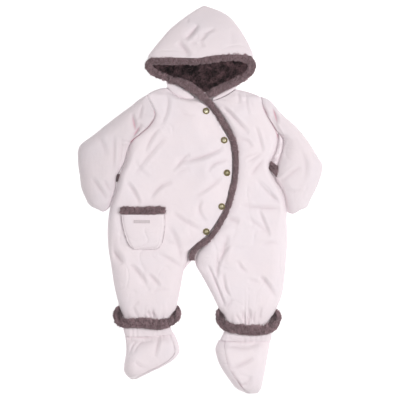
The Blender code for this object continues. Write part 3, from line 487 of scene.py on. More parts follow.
left_bow = np.array([-0.005, -0.002] + [0.0] * 16 + [-0.004, -0.010])


def across_steps(count):
    """Places from 0 to 1, a little closer together at the two seams."""
    even = np.linspace(0, 1, count)
    return (0.6 * even + 0.4 * (0.5 - 0.5 * np.cos(np.pi * even)))[None, :]


back_folds = table("""
    fold        x1     y1     x2     y2     x3     y3    deep   wide
    seat_r   -0.150 -0.090 -0.100 -0.100 -0.045 -0.112  0.0035  0.004
    seat_l    0.150 -0.095  0.100 -0.108  0.040 -0.115  0.0035  0.004
    knee_r   -0.150 -0.160 -0.115 -0.172 -0.070 -0.168  0.0030  0.0035
    knee_l    0.055 -0.170  0.090 -0.182  0.135 -0.178  0.0030  0.0035
    waist_r  -0.150  0.015 -0.090  0.004 -0.030  0.010  0.0030  0.004
    waist_l   0.030  0.020  0.085  0.006  0.150  0.012  0.0030  0.004
    blade_r  -0.120  0.120 -0.080  0.140 -0.050  0.175  0.0028  0.004
    blade_l   0.060  0.170  0.090  0.140  0.128  0.125  0.0028  0.004
    """)

seam_top = (0.004, 0.213)
seam_foot = (-0.0165, -0.120)

for side, rows, hem, clear_of_seam, leg_from in (("right", body_right, 19.20, -gap / 2, 16.0),
                                                 ("left", body_left, 18.20, gap / 2, 14.5)):
    down = np.linspace(0, hem, 170)[:, None]
    share = across_steps(70)
    mid_y = smooth(rows["mid_y"], down)
    seam_share = (mid_y - seam_top[1]) / (seam_foot[1] - seam_top[1])
    seam_x = seam_top[0] + (seam_foot[0] - seam_top[0]) * seam_share
    mid_x = np.where(mid_y > seam_foot[1], seam_x, smooth(rows["mid_x"], down))
    side_x, side_y = smooth(rows["side_x"], down), smooth(rows["side_y"], down)
    x = side_x + (mid_x - side_x) * share
    y = side_y + (mid_y - side_y) * share
    width = np.hypot(mid_x - side_x, mid_y - side_y)
    from_side, from_mid = width * share, width * (1 - share)
    ends = rise(np.minimum(down, hem - down), 0.5)
    leg = ease(down, leg_from, leg_from + 1.2)
    seam = 1 - 0.35 * np.exp(-from_mid / 0.006)
    rounding = rise(from_side, edge_round) * (1 - leg * (1 - rise(from_mid, edge_round))) * seam
    lowered, depth = folded(x, y, back_folds)
    inside = ease(np.minimum(from_side, from_mid), 0.001, 0.016)
    deep = rim + back_pad * rounding * (0.4 + 0.6 * ends)
    bottom = parting - deep + inside * (0.55 * lowered + 0.5 * np.abs(crumpled(x, y, 11)))
    bottom = np.clip(bottom, 0.0, parting - thin_back)
    x = x + clear_of_seam * share**4
    piece = panel(f"back_{side}", x, y, bottom, parting, depth * inside, shell)
    sew(piece, [f"back_{side}"])


# ---- Fronts --------------------------------------------------------------------------------------
# The right front wraps over the left one along a curved edge. Light fill under microfibre: folds
# run from the wrap, the underarm and the pocket, and the hems are gathered on elastic.

right_folds = table("""
    fold           x1      y1      x2      y2      x3      y3     deep    wide
    chest_sag    0.0455  0.105   0.0095  0.087  -0.0485  0.073  0.0042  0.0034
    belly_a     -0.0205  0.089  -0.0345  0.081  -0.0565  0.055  0.0026  0.0028
    belly_b      0.0555  0.079   0.0295  0.071   0.0135  0.055  0.0030  0.0026
    belly_c      0.0435  0.047   0.0195  0.025  -0.0125  0.007  0.0028  0.0026
    belly_d     -0.0565  0.035  -0.0805  0.025  -0.1005  0.003  0.0034  0.0030
    belly_e     -0.0505  0.049  -0.0365  0.057  -0.0205  0.063  0.0018  0.0024
    above_pocket -0.1465 0.033  -0.1325  0.015  -0.1205 -0.011  0.0040  0.0028
    lap_curve    0.0055 -0.001  -0.0025 -0.021   0.0155 -0.049  0.0026  0.0024
    lap_long    -0.0565 -0.025  -0.0265 -0.046   0.0005 -0.060  0.0030  0.0028
    hip_long    -0.0650 -0.052  -0.046  -0.0856 -0.037  -0.130  0.0026  0.0034
    hip_short   -0.0685 -0.080  -0.058  -0.087  -0.0465 -0.091  0.0016  0.0022
    leg_inner   -0.0835 -0.108  -0.0555 -0.123  -0.035  -0.136  0.0022  0.0026
    leg_outer   -0.1790 -0.100  -0.166  -0.113  -0.1545 -0.129  0.0040  0.0046
    knee_deep   -0.1405 -0.130  -0.123  -0.147  -0.1077 -0.170  0.0034  0.0030
    knee_short  -0.1040 -0.149  -0.092  -0.160  -0.0797 -0.174  0.0028  0.0026
    shin_ridge  -0.1225 -0.201  -0.131  -0.212  -0.1395 -0.224  0.0018  0.0022
    shin_arc    -0.0965 -0.1846 -0.0785 -0.179  -0.0605 -0.183  0.0014  0.0022
    collar_run  -0.0685  0.215  -0.0655  0.183  -0.0805  0.143  0.0022  0.0030
    arm_run     -0.0805  0.143  -0.0985  0.121  -0.1105  0.091  0.0026  0.0030
    rib_run     -0.0685  0.125  -0.1005  0.091  -0.1325  0.049  0.0024  0.0034
    rib_low     -0.1300  0.080  -0.120   0.060  -0.1000  0.045  0.0016  0.0028
    chest_high  -0.0440  0.180  -0.030   0.170  -0.0080  0.168  0.0012  0.0030
    hem_knot_a  -0.1065 -0.222  -0.1020 -0.229  -0.1005 -0.238  0.0030  0.0018
    hem_knot_b  -0.0925 -0.219  -0.0945 -0.228  -0.0905 -0.237  0.0030  0.0018
    hem_knot_c  -0.0990 -0.226  -0.0930 -0.230  -0.0860 -0.233  0.0024  0.0018
    hem_side    -0.1330 -0.216  -0.1290 -0.226  -0.1220 -0.236  0.0018  0.0022
    """)

# lap_thick is the left front's height under the wrap and placket the width of the flatter strip that
# holds the snaps. arm_join is how full the padding stays at an armhole seam, and by_sleeve how much
# tighter it rounds off beside a sleeve that lies free.
lap_thick = 0.005
placket = 0.060
arm_join = 0.72
by_sleeve = 0.015
hem_top = -0.236
right_end = len(body_right["crown"]) - 1
left_end = len(body_left["crown"]) - 1


def between(value, start, full, fading, end):
    """0 before start and after end, 1 from full to fading, and soft steps where it changes."""
    return ease(value, start, full) * (1 - ease(value, fading, end))


def gathers(along, distance, pitch, deep, reach, seed):
    """Uneven puckers square to an elastic edge: ridges of about one pitch, some strong and some
    hardly there, that die away from the edge at different lengths."""
    across = 0 * along
    phase = along / pitch + 1.3 * wander(along, across, 1.9 * pitch, seed)
    strong = ease(wander(along, across, 1.3 * pitch, seed + 1), -0.5, 0.8)
    longer = reach * (1 + 0.7 * wander(along, across, 0.9 * pitch, seed + 2))
    pucker = 0.5 - 0.5 * np.cos(2 * np.pi * phase)
    return deep * strong * pucker**1.4 * np.exp(-distance / longer)


def plan(rows, first, second, down, share, bow=None):
    """Plan of a piece: straight across from edge to edge, with the bow added, and both edge distances."""
    ax, ay = smooth(rows[f"{first}_x"], down), smooth(rows[f"{first}_y"], down)
    bx, by = smooth(rows[f"{second}_x"], down), smooth(rows[f"{second}_y"], down)
    x = ax + (bx - ax) * share
    y = ay + (by - ay) * share
    if bow is not None:
        y = y + smooth(bow, down) * 4 * share * (1 - share)
    width = np.hypot(bx - ax, by - ay)
    return x, y, width * share, width * (1 - share)


def armhole_painted_rose(y, distance, wide, low, uneven, seed):
    """Painted rose light down in an armhole seam's groove: exp(-(distance/wide) squared), unevenly strong
    along the seam.
    """
    return (low + uneven * wander(y, 0 * y, 0.012, seed)) * np.exp(-((distance / wide) ** 2))


def right_heights(down, share):
    """Plan, under side and upper side of the right front before its folds."""
    x, y, from_side, from_wrap = plan(body_right, "side", "wrap", down, share, right_bow)
    crown = smooth(body_right["crown"], down)
    over = np.maximum(smooth(body_right["over"], down), 0)
    lifted = (1 - ease(from_wrap, over + 0.001, over + 0.012)) * ease(over, 0.0, 0.008)
    lower = parting + gap + (lap_thick + 3 * gap) * lifted
    wrapped = ease(over, 0.0, 0.02)
    flatter = 1 - 0.5 * wrapped * (1 - ease(from_wrap, 0.0, placket))
    round_wrap = edge_round - (edge_round - 0.003) * wrapped
    held = arm_join * between(down, 1.2, 2.0, 6.6, 8.2)
    beside = between(down, 6.8, 8.4, 12.5, 15.0)
    shoulder = held + (1 - held) * rise(from_side, edge_round - 0.012 * held - by_sleeve * beside)
    height = crown * shoulder * rise(from_wrap, round_wrap) * flatter
    lap_lift = (lap_thick + 2 * gap) * wrapped * 0.6 * (1 - ease(from_wrap, 0.02, 0.09))
    return x, y, from_side, from_wrap, lower, parting + gap + rim + height + lap_lift


def right_surface(down, share):
    """The right front with its folds, wrinkles and hem gathers."""
    x, y, from_side, from_wrap, lower, upper = right_heights(down, share)
    lowered, depth = folded(x, y, right_folds)
    inside = ease(np.minimum(from_side, from_wrap), 0.0, 0.014)
    flat = ease(from_wrap, 0.0, 0.04) * 0.6 + 0.4
    hem = gathers(x, np.maximum(y - hem_top, 0), 0.013, 0.0040, 0.008, 5)
    upper = upper - inside * (lowered - crumpled(x, y, 21) * flat) - hem * rise(from_side, 0.01)
    # Painted rose light down in the armhole seam's groove.
    painted_seam_rose = between(down, 3.2, 4.4, 6.8, 8.4) * armhole_painted_rose(y, from_side, 0.0042, 0.75, 0.35, 23)
    # Painted shade in the folds and the hem gathers.
    depth = np.maximum(np.maximum(depth * inside, hem / 0.008), painted_seam_rose)
    return x, y, np.maximum(upper, lower + thin_front), lower, depth


down = np.linspace(0, right_end, 235)[:, None]
x, y, upper, lower, depth = right_surface(down, across_steps(125))
front_right = panel("front_right", x, y, upper, lower, depth, shell)
sew(front_right, ["front_right"])


def right_front_height(px, py):
    """Height of the right front over places in plan, found by halving between its rows."""
    low, high = np.zeros_like(px), np.full_like(px, right_end)
    for _ in range(30):
        middle = (low + high) / 2
        side_x, side_y = smooth(body_right["side_x"], middle), smooth(body_right["side_y"], middle)
        wrap_x, wrap_y = smooth(body_right["wrap_x"], middle), smooth(body_right["wrap_y"], middle)
        share = (px - side_x) / (wrap_x - side_x)
        above = side_y + share * (wrap_y - side_y) > py
        low, high = np.where(above, middle, low), np.where(above, high, middle)
    return right_surface(middle, share)[2]


left_folds = table("""
    fold           x1      y1      x2      y2      x3      y3     deep    wide
    collar_deep  0.0435  0.185   0.0655  0.163   0.0955  0.131  0.0046  0.0030
    chest_arc    0.0715  0.119   0.0915  0.117   0.1015  0.103  0.0024  0.0024
    arm_edge     0.1095  0.147   0.1195  0.115   0.1235  0.095  0.0024  0.0026
    rib_a        0.0815  0.083   0.0995  0.087   0.1155  0.093  0.0022  0.0024
    rib_b        0.0915  0.075   0.1075  0.083   0.1235  0.093  0.0022  0.0022
    rib_c        0.0995  0.047   0.1115  0.063   0.1255  0.079  0.0030  0.0028
    waist_a      0.0795 -0.011   0.1235 -0.017   0.1595 -0.017  0.0030  0.0028
    waist_b      0.1115  0.039   0.1395  0.009   0.1635 -0.011  0.0026  0.0028
    shoulder_dip 0.0735  0.215   0.0765  0.203   0.0765  0.191  0.0020  0.0020
    shoulder_b   0.0890  0.205   0.093   0.185   0.0960  0.165  0.0012  0.0022
    thigh_top    0.0555 -0.071   0.0475 -0.097   0.0415 -0.125  0.0036  0.0042
    hip_deep     0.1163 -0.0196  0.126  -0.044   0.1387 -0.072  0.0030  0.0022
    hip_side     0.0883 -0.0346  0.1201 -0.055   0.1387 -0.072  0.0022  0.0024
    hip_arc      0.1201 -0.0924  0.1387 -0.086   0.1575 -0.0906 0.0018  0.0024
    knee_arc     0.0743 -0.1204  0.0809 -0.1354  0.0939 -0.1448 0.0022  0.0022
    knee_deep    0.1181 -0.154   0.1313 -0.167   0.1519 -0.197  0.0034  0.0030
    knee_low     0.0939 -0.1596  0.107  -0.163   0.1201 -0.167  0.0016  0.0022
    inseam_a     0.0155 -0.1318  0.0305 -0.1654  0.0491 -0.2138 0.0034  0.0018
    inseam_b     0.0341 -0.1056  0.0325 -0.134   0.0315 -0.1616 0.0026  0.0020
    inseam_c     0.0621 -0.0906  0.0415 -0.113   0.0341 -0.156  0.0030  0.0022
    inseam_d     0.0455 -0.1466  0.0509 -0.1802  0.0603 -0.1896 0.0026  0.0022
    inseam_e     0.0491 -0.2176  0.058  -0.207   0.0631 -0.199  0.0026  0.0020
    by_trim      0.0529 -0.038   0.065  -0.041   0.0771 -0.0458 0.0034  0.0040
    hem_knot_a   0.0830 -0.222   0.0850 -0.232   0.0815 -0.246  0.0030  0.0018
    hem_knot_b   0.0960 -0.218   0.0985 -0.232   0.0950 -0.248  0.0034  0.0020
    hem_knot_c   0.1100 -0.224   0.1060 -0.236   0.1085 -0.249  0.0028  0.0018
    hem_knot_d   0.0700 -0.230   0.0760 -0.238   0.0800 -0.246  0.0022  0.0018
    hem_side     0.1230 -0.214   0.1190 -0.228   0.1215 -0.243  0.0020  0.0022
    """)

down = np.linspace(0, left_end, 225)[:, None]
x, y, from_lap, from_side = plan(body_left, "lap", "side", down, across_steps(110), left_bow)
crown = smooth(body_left["crown"], down)
lap = np.maximum(smooth(body_left["lap"], down), 0)
under_trim = 0.006
swell = 1 - (1 - rise(np.maximum(from_lap - lap + under_trim, 0), 0.026)) * ease(lap, 0.0, 0.01)
held = arm_join * between(down, 1.2, 2.0, 5.2, 6.4)
beside = between(down, 5.2, 6.8, 11.0, 13.5)
shoulder = held + (1 - held) * rise(from_side, edge_round - 0.012 * held - by_sleeve * beside)
inseam = (1 - rise(from_lap, edge_round)) * (1 - ease(lap, 0.0, 0.01))
full = crown * shoulder * (1 - inseam)
height = (lap_thick - rim) * (1 - swell) * rise(from_side, 0.01) + full * swell
lowered, depth = folded(x, y, left_folds)
inside = swell * ease(np.minimum(from_side, from_lap), 0.0, 0.014)
hem = gathers(x, np.maximum(y - hem_top, 0), 0.012, 0.0042, 0.010, 8) * rise(from_side, 0.01)
upper = parting + gap + rim + height - inside * (lowered - crumpled(x, y, 31)) - hem
upper = np.maximum(upper, parting + gap + thin_front)
# Painted rose light down in the armhole seam's groove.
painted_seam_rose = between(down, 2.2, 3.4, 5.6, 6.6) * armhole_painted_rose(y, from_side, 0.0036, 0.75, 0.35, 33)
# Painted shade in the folds and the hem gathers.
depth = np.maximum(np.maximum(depth * inside, hem / 0.009), painted_seam_rose)
front_left = panel("front_left", x, y, upper, parting + gap, depth, shell)
sew(front_left, ["front_left"])


# ---- Sleeves -------------------------------------------------------------------------------------
# Set-in sleeves that run on into closed mitten ends, each in two halves that meet at the outer edge.
# The left one shows the gathered elastic casing and the pile facing of its mitten opening.

sleeve_right = table("""
    section        out_x   out_y   crown   cuff
    shoulder_tip  -0.106   0.209   0.010   0.000
    armhole_1     -0.123   0.199   0.013   0.000
    armhole_2     -0.139   0.186   0.015   0.000
    armhole_3     -0.157   0.173   0.017   0.000
    armhole_4     -0.183   0.153   0.018   0.000
    underarm      -0.213   0.129   0.018   0.000
    side_1        -0.241   0.106   0.018   0.000
    side_2        -0.244   0.077   0.018   0.000
    cuff_level    -0.241   0.051   0.018   0.0005
    waist_1       -0.233   0.013   0.017   0.000
    waist_2       -0.200  -0.021   0.010   0.000
    """)
sleeve_left = table("""
    section        out_x   out_y   crown   cuff
    shoulder_tip   0.121   0.206   0.010   0.000
    armhole_1      0.140   0.197   0.013   0.000
    armhole_2      0.164   0.170   0.015   0.000
    armhole_3      0.191   0.146   0.017   0.000
    underarm       0.215   0.117   0.018   0.009
    side_1         0.235   0.085   0.018   0.012
    cuff_level     0.244   0.068   0.018   0.014
    side_2         0.239   0.040   0.018   0.001
    waist_1        0.222   0.004   0.017   0.000
    waist_2        0.197  -0.020   0.010   0.000
    """)
sleeve_folds = table("""
    fold           x1      y1      x2      y2      x3      y3     deep    wide
    r_mitt_a    -0.2165  0.043  -0.2005  0.021  -0.1845 -0.001  0.0028  0.0032
    r_mitt_b    -0.1925  0.039  -0.1845  0.025  -0.1745  0.013  0.0026  0.0028
    r_strip_out -0.1725  0.129  -0.1725  0.089  -0.1745  0.049  0.0024  0.0024
    r_strip_in  -0.1565  0.125  -0.1565  0.090  -0.1600  0.055  0.0024  0.0024
    r_cap       -0.1365  0.173  -0.1315  0.150  -0.1285  0.135  0.0044  0.0028
    r_armhole   -0.1165  0.151  -0.1320  0.126  -0.1485  0.089  0.0062  0.0032
    r_branch    -0.1280  0.128  -0.1230  0.120  -0.1220  0.110  0.0030  0.0022
    r_under     -0.1425  0.105  -0.1445  0.095  -0.1485  0.085  0.0036  0.0024
    r_upper     -0.1150  0.190  -0.1200  0.172  -0.1220  0.160  0.0022  0.0024
    r_elbow     -0.2050  0.125  -0.1950  0.110  -0.1880  0.085  0.0020  0.0036
    l_mitt       0.1595  0.035   0.1795  0.051   0.1995  0.065  0.0028  0.0028
    l_armhole    0.1215  0.199   0.1275  0.175   0.1355  0.159  0.0034  0.0024
    l_cap        0.1435  0.185   0.1495  0.167   0.1535  0.149  0.0036  0.0026
    l_under      0.1400  0.166   0.1460  0.150   0.1560  0.132  0.0050  0.0028
    l_dimple     0.1540  0.137   0.1580  0.128   0.1590  0.119  0.0046  0.0026
    l_elbow      0.1995  0.099   0.2095  0.069   0.2055  0.039  0.0018  0.0040
    l_low        0.1700  0.020   0.1850  0.015   0.2000  0.020  0.0016  0.0030
    """)

# A sleeve's row n lies beside the body's row n + 2. last_join is its last row that the armhole seam
# holds, and tip_run how far its closed end runs on along the body.
first_row = 2
for side, rows, body, way, last_join, tip_run in (("right", sleeve_right, body_right, -1, 5.4, 0.0),
                                                  ("left", sleeve_left, body_left, 1, 3.6, 0.26)):
    last = len(rows["crown"]) - 1
    down = np.linspace(0, last, 130)[:, None]
    share = across_steps(60)
    cuff = np.maximum(smooth(rows["cuff"], down), 0)
    beside = down + first_row + tip_run * ease(down, last - 1, last)
    in_x = smooth(body["side_x"], beside) + way * (2 * gap + cuff)
    in_y = smooth(body["side_y"], beside)
    bulb = np.exp(-(((down - last + 0.45) / 0.35) ** 2))
    out_x = smooth(rows["out_x"], down) + way * 0.004 * bulb
    out_y = smooth(rows["out_y"], down) - 0.006 * bulb
    x = in_x + (out_x - in_x) * share
    y = in_y + (out_y - in_y) * share - 0.024 * ease(down, last - 1.2, last) * share * (1 - share)
    width = np.hypot(out_x - in_x, out_y - in_y)
    reach = np.minimum(edge_round, 0.45 * width)
    tip_end = rise(last - down, 0.55)
    held = arm_join * (1 - ease(down, last_join - 0.8, last_join + 0.6))
    inner_edge = held + (1 - held) * rise(width * share, reach * (1 - 0.4 * held))
    rounding = rise(width * share, reach) * rise(width * (1 - share), reach)
    crown = smooth(rows["crown"], down)
    domed = crown * inner_edge * rise(width * (1 - share), reach) * (0.25 + 0.75 * tip_end)
    lowered, depth = folded(x, y, sleeve_folds)
    inside = ease(np.minimum(width * share, width * (1 - share)), 0.0, 0.010)
    pucker = gathers(down * 0.02 + 0 * x, width * share, 0.009, 0.0022, 0.009, 13 + way)
    upper = parting + gap + rim + domed - inside * (lowered - crumpled(x, y, 41 + way)) - pucker
    upper = np.maximum(upper, parting + gap + thin_front)
    joined = between(down, 0.8, 2.0, last_join - 0.4, last_join + 0.8)
    # Painted rose light down in the armhole seam's groove.
    painted_seam_rose = joined * armhole_painted_rose(y, width * share, 0.0032, 0.7, 0.4, 43)
    piece = panel(f"sleeve_{side}_front", x, y, upper, parting + gap, np.maximum(depth * inside, painted_seam_rose),
                  shaded_sleeve_shells[side])
    sew(piece, [f"sleeve_{side}_front"])
    ends = rise(np.minimum(down, last - down), 1.0)
    bottom = parting - rim - back_pad * rounding * (0.35 + 0.65 * ends)
    bottom = bottom + inside * (0.5 * lowered + 0.4 * np.abs(crumpled(x, y, 51 + way)))
    bottom = np.clip(bottom, 0.0, parting - thin_back)
    piece = panel(f"sleeve_{side}_back", x, y, bottom, parting, depth * inside, shaded_sleeve_shells[side])
    sew(piece, [f"sleeve_{side}_back"])

casing_from, casing_to = 3.30, 7.50
down = np.linspace(casing_from, casing_to, 110)[:, None]
share = np.linspace(0, 1, 26)[None, :]
cuff = np.maximum(smooth(sleeve_left["cuff"], down), 4 * gap)
x = smooth(body_left["side_x"], down + first_row) + gap + cuff * share
y = np.broadcast_to(smooth(body_left["side_y"], down + first_row), x.shape)
ends = rise(np.minimum(down - casing_from, casing_to - down), 0.25)
bulge = np.sqrt(np.clip(4 * share * (1 - share), 0, 1))
pucker = gathers(y, np.minimum(share, 1 - share) * 0.012, 0.0046, 0.0052, 0.008, 17)
upper = parting + gap + rim + np.maximum(0.010 * bulge * ends - pucker * bulge, 0)
# The casing's puckers are painted as shade in the folds.
casing = panel("cuff_left_casing", x, y, upper, parting + gap, pucker / 0.006, shell)
sew(casing, ["cuff_left_casing"])


# ---- Hood ----------------------------------------------------------------------------------------
# Two padded sides meet in a seam over the crown and fold round the back of the head. The face edge
# is topstitched; inside is a dark pile lining that creases where the hood lies flat.

hood_right = table("""
    section    out_x   out_y   mid_x   mid_y   bow    thick
    peak       0.004   0.386   0.009   0.387   0.000  0.010
    point     -0.013   0.376   0.007   0.374   0.000  0.017
    crown_1   -0.033   0.362   0.003   0.359   0.000  0.024
    crown_2   -0.060   0.340  -0.003   0.343   0.000  0.030
    crown_3   -0.081   0.316  -0.005   0.321   0.000  0.034
    brow_1    -0.097   0.296  -0.007   0.301   0.000  0.036
    brow      -0.104   0.285  -0.004   0.285   0.001  0.036
    cheek_1   -0.104   0.268  -0.001   0.268   0.000  0.036
    cheek_2   -0.095   0.253   0.002   0.252   0.000  0.036
    cheek_3   -0.080   0.239   0.004   0.233   0.000  0.036
    nape      -0.067   0.2238  0.004   0.2138  0.000  0.036
    """)
hood_left = table("""
    section    out_x   out_y   mid_x   mid_y   bow    thick
    peak       0.014   0.386   0.009   0.387   0.000  0.010
    point      0.043   0.375   0.007   0.374   0.000  0.017
    crown_1    0.061   0.362   0.003   0.359   0.000  0.024
    crown_2    0.077   0.343  -0.003   0.343   0.000  0.030
    crown_3    0.091   0.321  -0.005   0.321   0.000  0.034
    brow_1     0.100   0.303  -0.007   0.301   0.000  0.036
    brow       0.105   0.290  -0.004   0.285   0.006  0.036
    cheek_1    0.105   0.269  -0.001   0.268   0.000  0.036
    cheek_2    0.100   0.253   0.002   0.252   0.000  0.036
    cheek_3    0.088   0.238   0.004   0.233   0.000  0.036
    nape       0.073   0.2208  0.004   0.2138  0.000  0.036
    """)
hood_folds = table("""
    fold          x1      y1      x2      y2      x3      y3     deep    wide
    seam_dip   -0.0025  0.347  -0.0045  0.319  -0.0065  0.285  0.0005  0.0016
    dart_a     -0.0045  0.349  -0.0165  0.333  -0.0305  0.318  0.0062  0.0034
    dart_b     -0.0445  0.314  -0.0325  0.299  -0.0205  0.285  0.0060  0.0034
    dart_c      0.0295  0.341   0.0155  0.333   0.0035  0.327  0.0028  0.0024
    dart_d      0.0135  0.329   0.0055  0.321  -0.0005  0.315  0.0030  0.0020
    knot_a     -0.0005  0.315   0.0035  0.309   0.0075  0.303  0.0030  0.0018
    knot_b     -0.0205  0.313  -0.0145  0.312  -0.0085  0.311  0.0022  0.0018
    brow_stitch 0.0435  0.299   0.0735  0.307   0.0985  0.299  0.0014  0.0011
    brow_right -0.0900  0.294  -0.0550  0.296  -0.0250  0.293  0.0012  0.0016
    crown_nip  -0.0245  0.361  -0.0250  0.356  -0.0245  0.351  0.0016  0.0016
    side_soft   0.0600  0.340   0.0650  0.320   0.0600  0.305  0.0016  0.0050
    """)


tube_power = 0.6


def hood_surface(rows, down, turn, inset, way):
    """The hood's section is a flattened tube, sine and cosine of a turn to the tube_power: turn 0 is
    the crown seam, a quarter turn the outer fold and a half turn the seam down the back. inset moves
    the surface inwards by the wall."""
    columns = ("mid_x", "mid_y", "out_x", "out_y", "bow")
    mid_x, mid_y, out_x, out_y, bow = (smooth(rows[column], down) for column in columns)
    half = smooth(rows["thick"], down) / 2
    width = np.hypot(out_x - mid_x, out_y - mid_y)
    aside = np.maximum(np.sin(turn), 0.0) ** tube_power
    up = np.sign(np.cos(turn)) * np.abs(np.cos(turn)) ** tube_power
    share = aside * (1 - np.minimum(inset, 0.45 * width) / width)
    x = mid_x + way * gap / 8 + (out_x - mid_x) * share
    y = mid_y + (out_y - mid_y) * share + bow * 4 * share * (1 - share)
    z = half + (half - np.minimum(inset, 0.92 * half)) * up
    if inset == 0:
        lowered, depth = folded(x, y, hood_folds)
        over = ease(np.cos(turn), 0.15, 0.6)
        z = z - over * (lowered - 0.8 * crumpled(x, y, 61))
        return np.stack([x, y, z], axis=2), depth * over
    return np.stack([x, y, z], axis=2), 0 * x


def walled(name, outer, inner, keep, depth, finish):
    """A wall between two grids of points where keep is true, closed all round its edge."""
    rows, columns = outer.shape[:2]
    faces, number = grid_faces(rows, columns)
    top = faces[keep.ravel()]
    bottom = top[:, ::-1] + rows * columns
    starts, ends = top.ravel(), np.roll(top, -1, axis=1).ravel()
    forward = starts.astype(np.int64) * rows * columns + ends
    backward = ends.astype(np.int64) * rows * columns + starts
    open_edge = ~np.isin(backward, forward)
    a, b = starts[open_edge], ends[open_edge]
    walls = np.stack([b, a, a + rows * columns, b + rows * columns], axis=1)
    points = np.concatenate([outer.reshape(-1, 3), inner.reshape(-1, 3)])
    used = np.unique(np.concatenate([top.ravel(), bottom.ravel()]))
    renumber = np.zeros(len(points), int)
    renumber[used] = np.arange(len(used))
    # The fold depth goes to the shell as the mask of its painted shade.
    crease = np.concatenate([depth.ravel(), 0 * depth.ravel()])[used]
    blocks = [renumber[top], renumber[bottom], renumber[walls]]
    piece = make_piece(name + "_cloth", points[used], blocks, finish, crease=crease)
    piece["cut"] = flat_cut(outer, keep)
    return piece


# The steps of the turn are even in width over the flat faces and even in angle round the outer fold.
# The face opening takes away the front from the brow down, and a strip of the back past the fold.
hood_steps, brow_step = 120, 75
turns, flat_turns, flat_share = 72, 23, 0.86
face_turns = 2 * turns // 3
wall = 0.008
flat = np.arcsin(np.linspace(0, flat_share, flat_turns + 1) ** (1 / tube_power))
quarter = np.concatenate([flat, np.linspace(flat[-1], np.pi / 2, turns // 2 - flat_turns + 1)[1:]])
turn = np.concatenate([quarter, np.pi - quarter[-2::-1]])[None, :]
down = np.linspace(0, 10, hood_steps + 1)[:, None]
for side, rows, way in (("right", hood_right, -1), ("left", hood_left, 1)):
    outer, depth = hood_surface(rows, down, turn, 0.0, way)
    inner = hood_surface(rows, down, turn, wall, way)[0]
    keep = np.ones((hood_steps, turns), bool)
    keep[brow_step:, :face_turns] = False
    piece = walled(f"hood_{side}", outer, inner, keep, depth, shaded_hood_shell)
    sew(piece, [f"hood_{side}"])


# ---- Pile trims and lining -----------------------------------------------------------------------
# Knitted-back pile, cut in strips and turned over each edge, so it reads as a soft roll. Each is a
# backing tube with thousands of tapered, slightly bent locks of fibre standing out of it.


def pile_finish(name, root, tip, sheen):
    """Brown-grey pile: dark at the roots, partly its own colour and partly painted shade between the locks,
    lighter and warmer at their ends, each a little apart.
    """
    pile = Finish(name, Sheen_Weight=sheen, Sheen_Roughness=0.6, Specular_IOR_Level=0.2, Roughness=0.85)
    mixed = pile.blend((pile.field("tip") * 0.75 + (pile.field("lock") - 0.35) * 0.9).clamp(), root, tip)
    mottled = ((pile.noise(150.0, 3.0, 0.65) - 0.47) * 5.0).clamp()
    darker = tuple(c * 0.50 for c in tip)
    pile.feed("Base Color", pile.blend(mottled * 0.5, mixed, darker))
    pile.bump(pile.noise(900.0, 2.0), 0.0006, 0.6)
    return pile.material


# Root colours: the pile's darker base and painted shade between the locks; tip colours its own.
trim_pile = pile_finish("trim_pile", (0.080, 0.046, 0.052), (0.450, 0.295, 0.322), 0.30)
lining_pile = pile_finish("lining_pile", (0.0050, 0.0026, 0.0030), (0.230, 0.132, 0.145), 0.06)

clump_size = 0.0042
lock_points = 7


def locks(points, normals, length, thick, seed, lean=(0.0, 0.0, 0.0)):
    """Tapered locks of fibre: a three-sided base in the backing, a bent waist and a point. Locks that
    stand close together lean the same way and share their length and tone, as clumps."""
    rng = np.random.default_rng(seed)
    count = len(points)
    px, py = points[:, 0], points[:, 1] + 0.7 * points[:, 2]
    clump = wander(px, py, clump_size, seed)
    comb = np.stack([wander(px, py, 1.6 * clump_size, seed + k) for k in (2, 3, 4)], axis=1)
    way = normals + rng.normal(0, 0.30, (count, 3)) + 0.55 * comb + np.array(lean)
    way /= np.linalg.norm(way, axis=1)[:, None]
    side = np.cross(way, rng.normal(0, 1, (count, 3)))
    side /= np.linalg.norm(side, axis=1)[:, None]
    other = np.cross(way, side)
    long = length * rng.uniform(0.6, 1.2, (count, 1)) * (1 + 0.45 * clump[:, None])
    fat = thick * rng.uniform(0.7, 1.3, (count, 1))
    bend = side * long * rng.normal(0, 0.16, (count, 1))
    spin = 2 * np.pi * np.arange(3) / 3
    ring = side[:, None] * np.cos(spin)[:, None] + other[:, None] * np.sin(spin)[:, None]
    base = (points - way * 0.0008)[:, None] + ring * fat[:, None]
    waist = (points + way * long * 0.5 + bend)[:, None] + ring * (fat * 0.75)[:, None]
    end = (points + way * long + 2.2 * bend)[:, None]
    vertices = np.concatenate([base, waist, end], axis=1).reshape(-1, 3)
    start = (lock_points * np.arange(count))[:, None, None]
    lower = np.array([[0, 1, 4, 3], [1, 2, 5, 4], [2, 0, 3, 5]])[None]
    upper = np.array([[3, 4, 6], [4, 5, 6], [5, 3, 6]])[None]
    floor_face = np.array([[2, 1, 0]])[None]
    quads = (start + lower).reshape(-1, 4)
    triangles = np.concatenate([(start + upper).reshape(-1, 3), (start + floor_face).reshape(-1, 3)])
    tip = np.tile([0.0, 0.0, 0.0, 0.55, 0.55, 0.55, 1.0], count)
    lock = np.repeat(np.clip(0.5 + 0.42 * clump + rng.normal(0, 0.14, count), 0, 1), lock_points)
    return vertices, quads, triangles, tip, lock


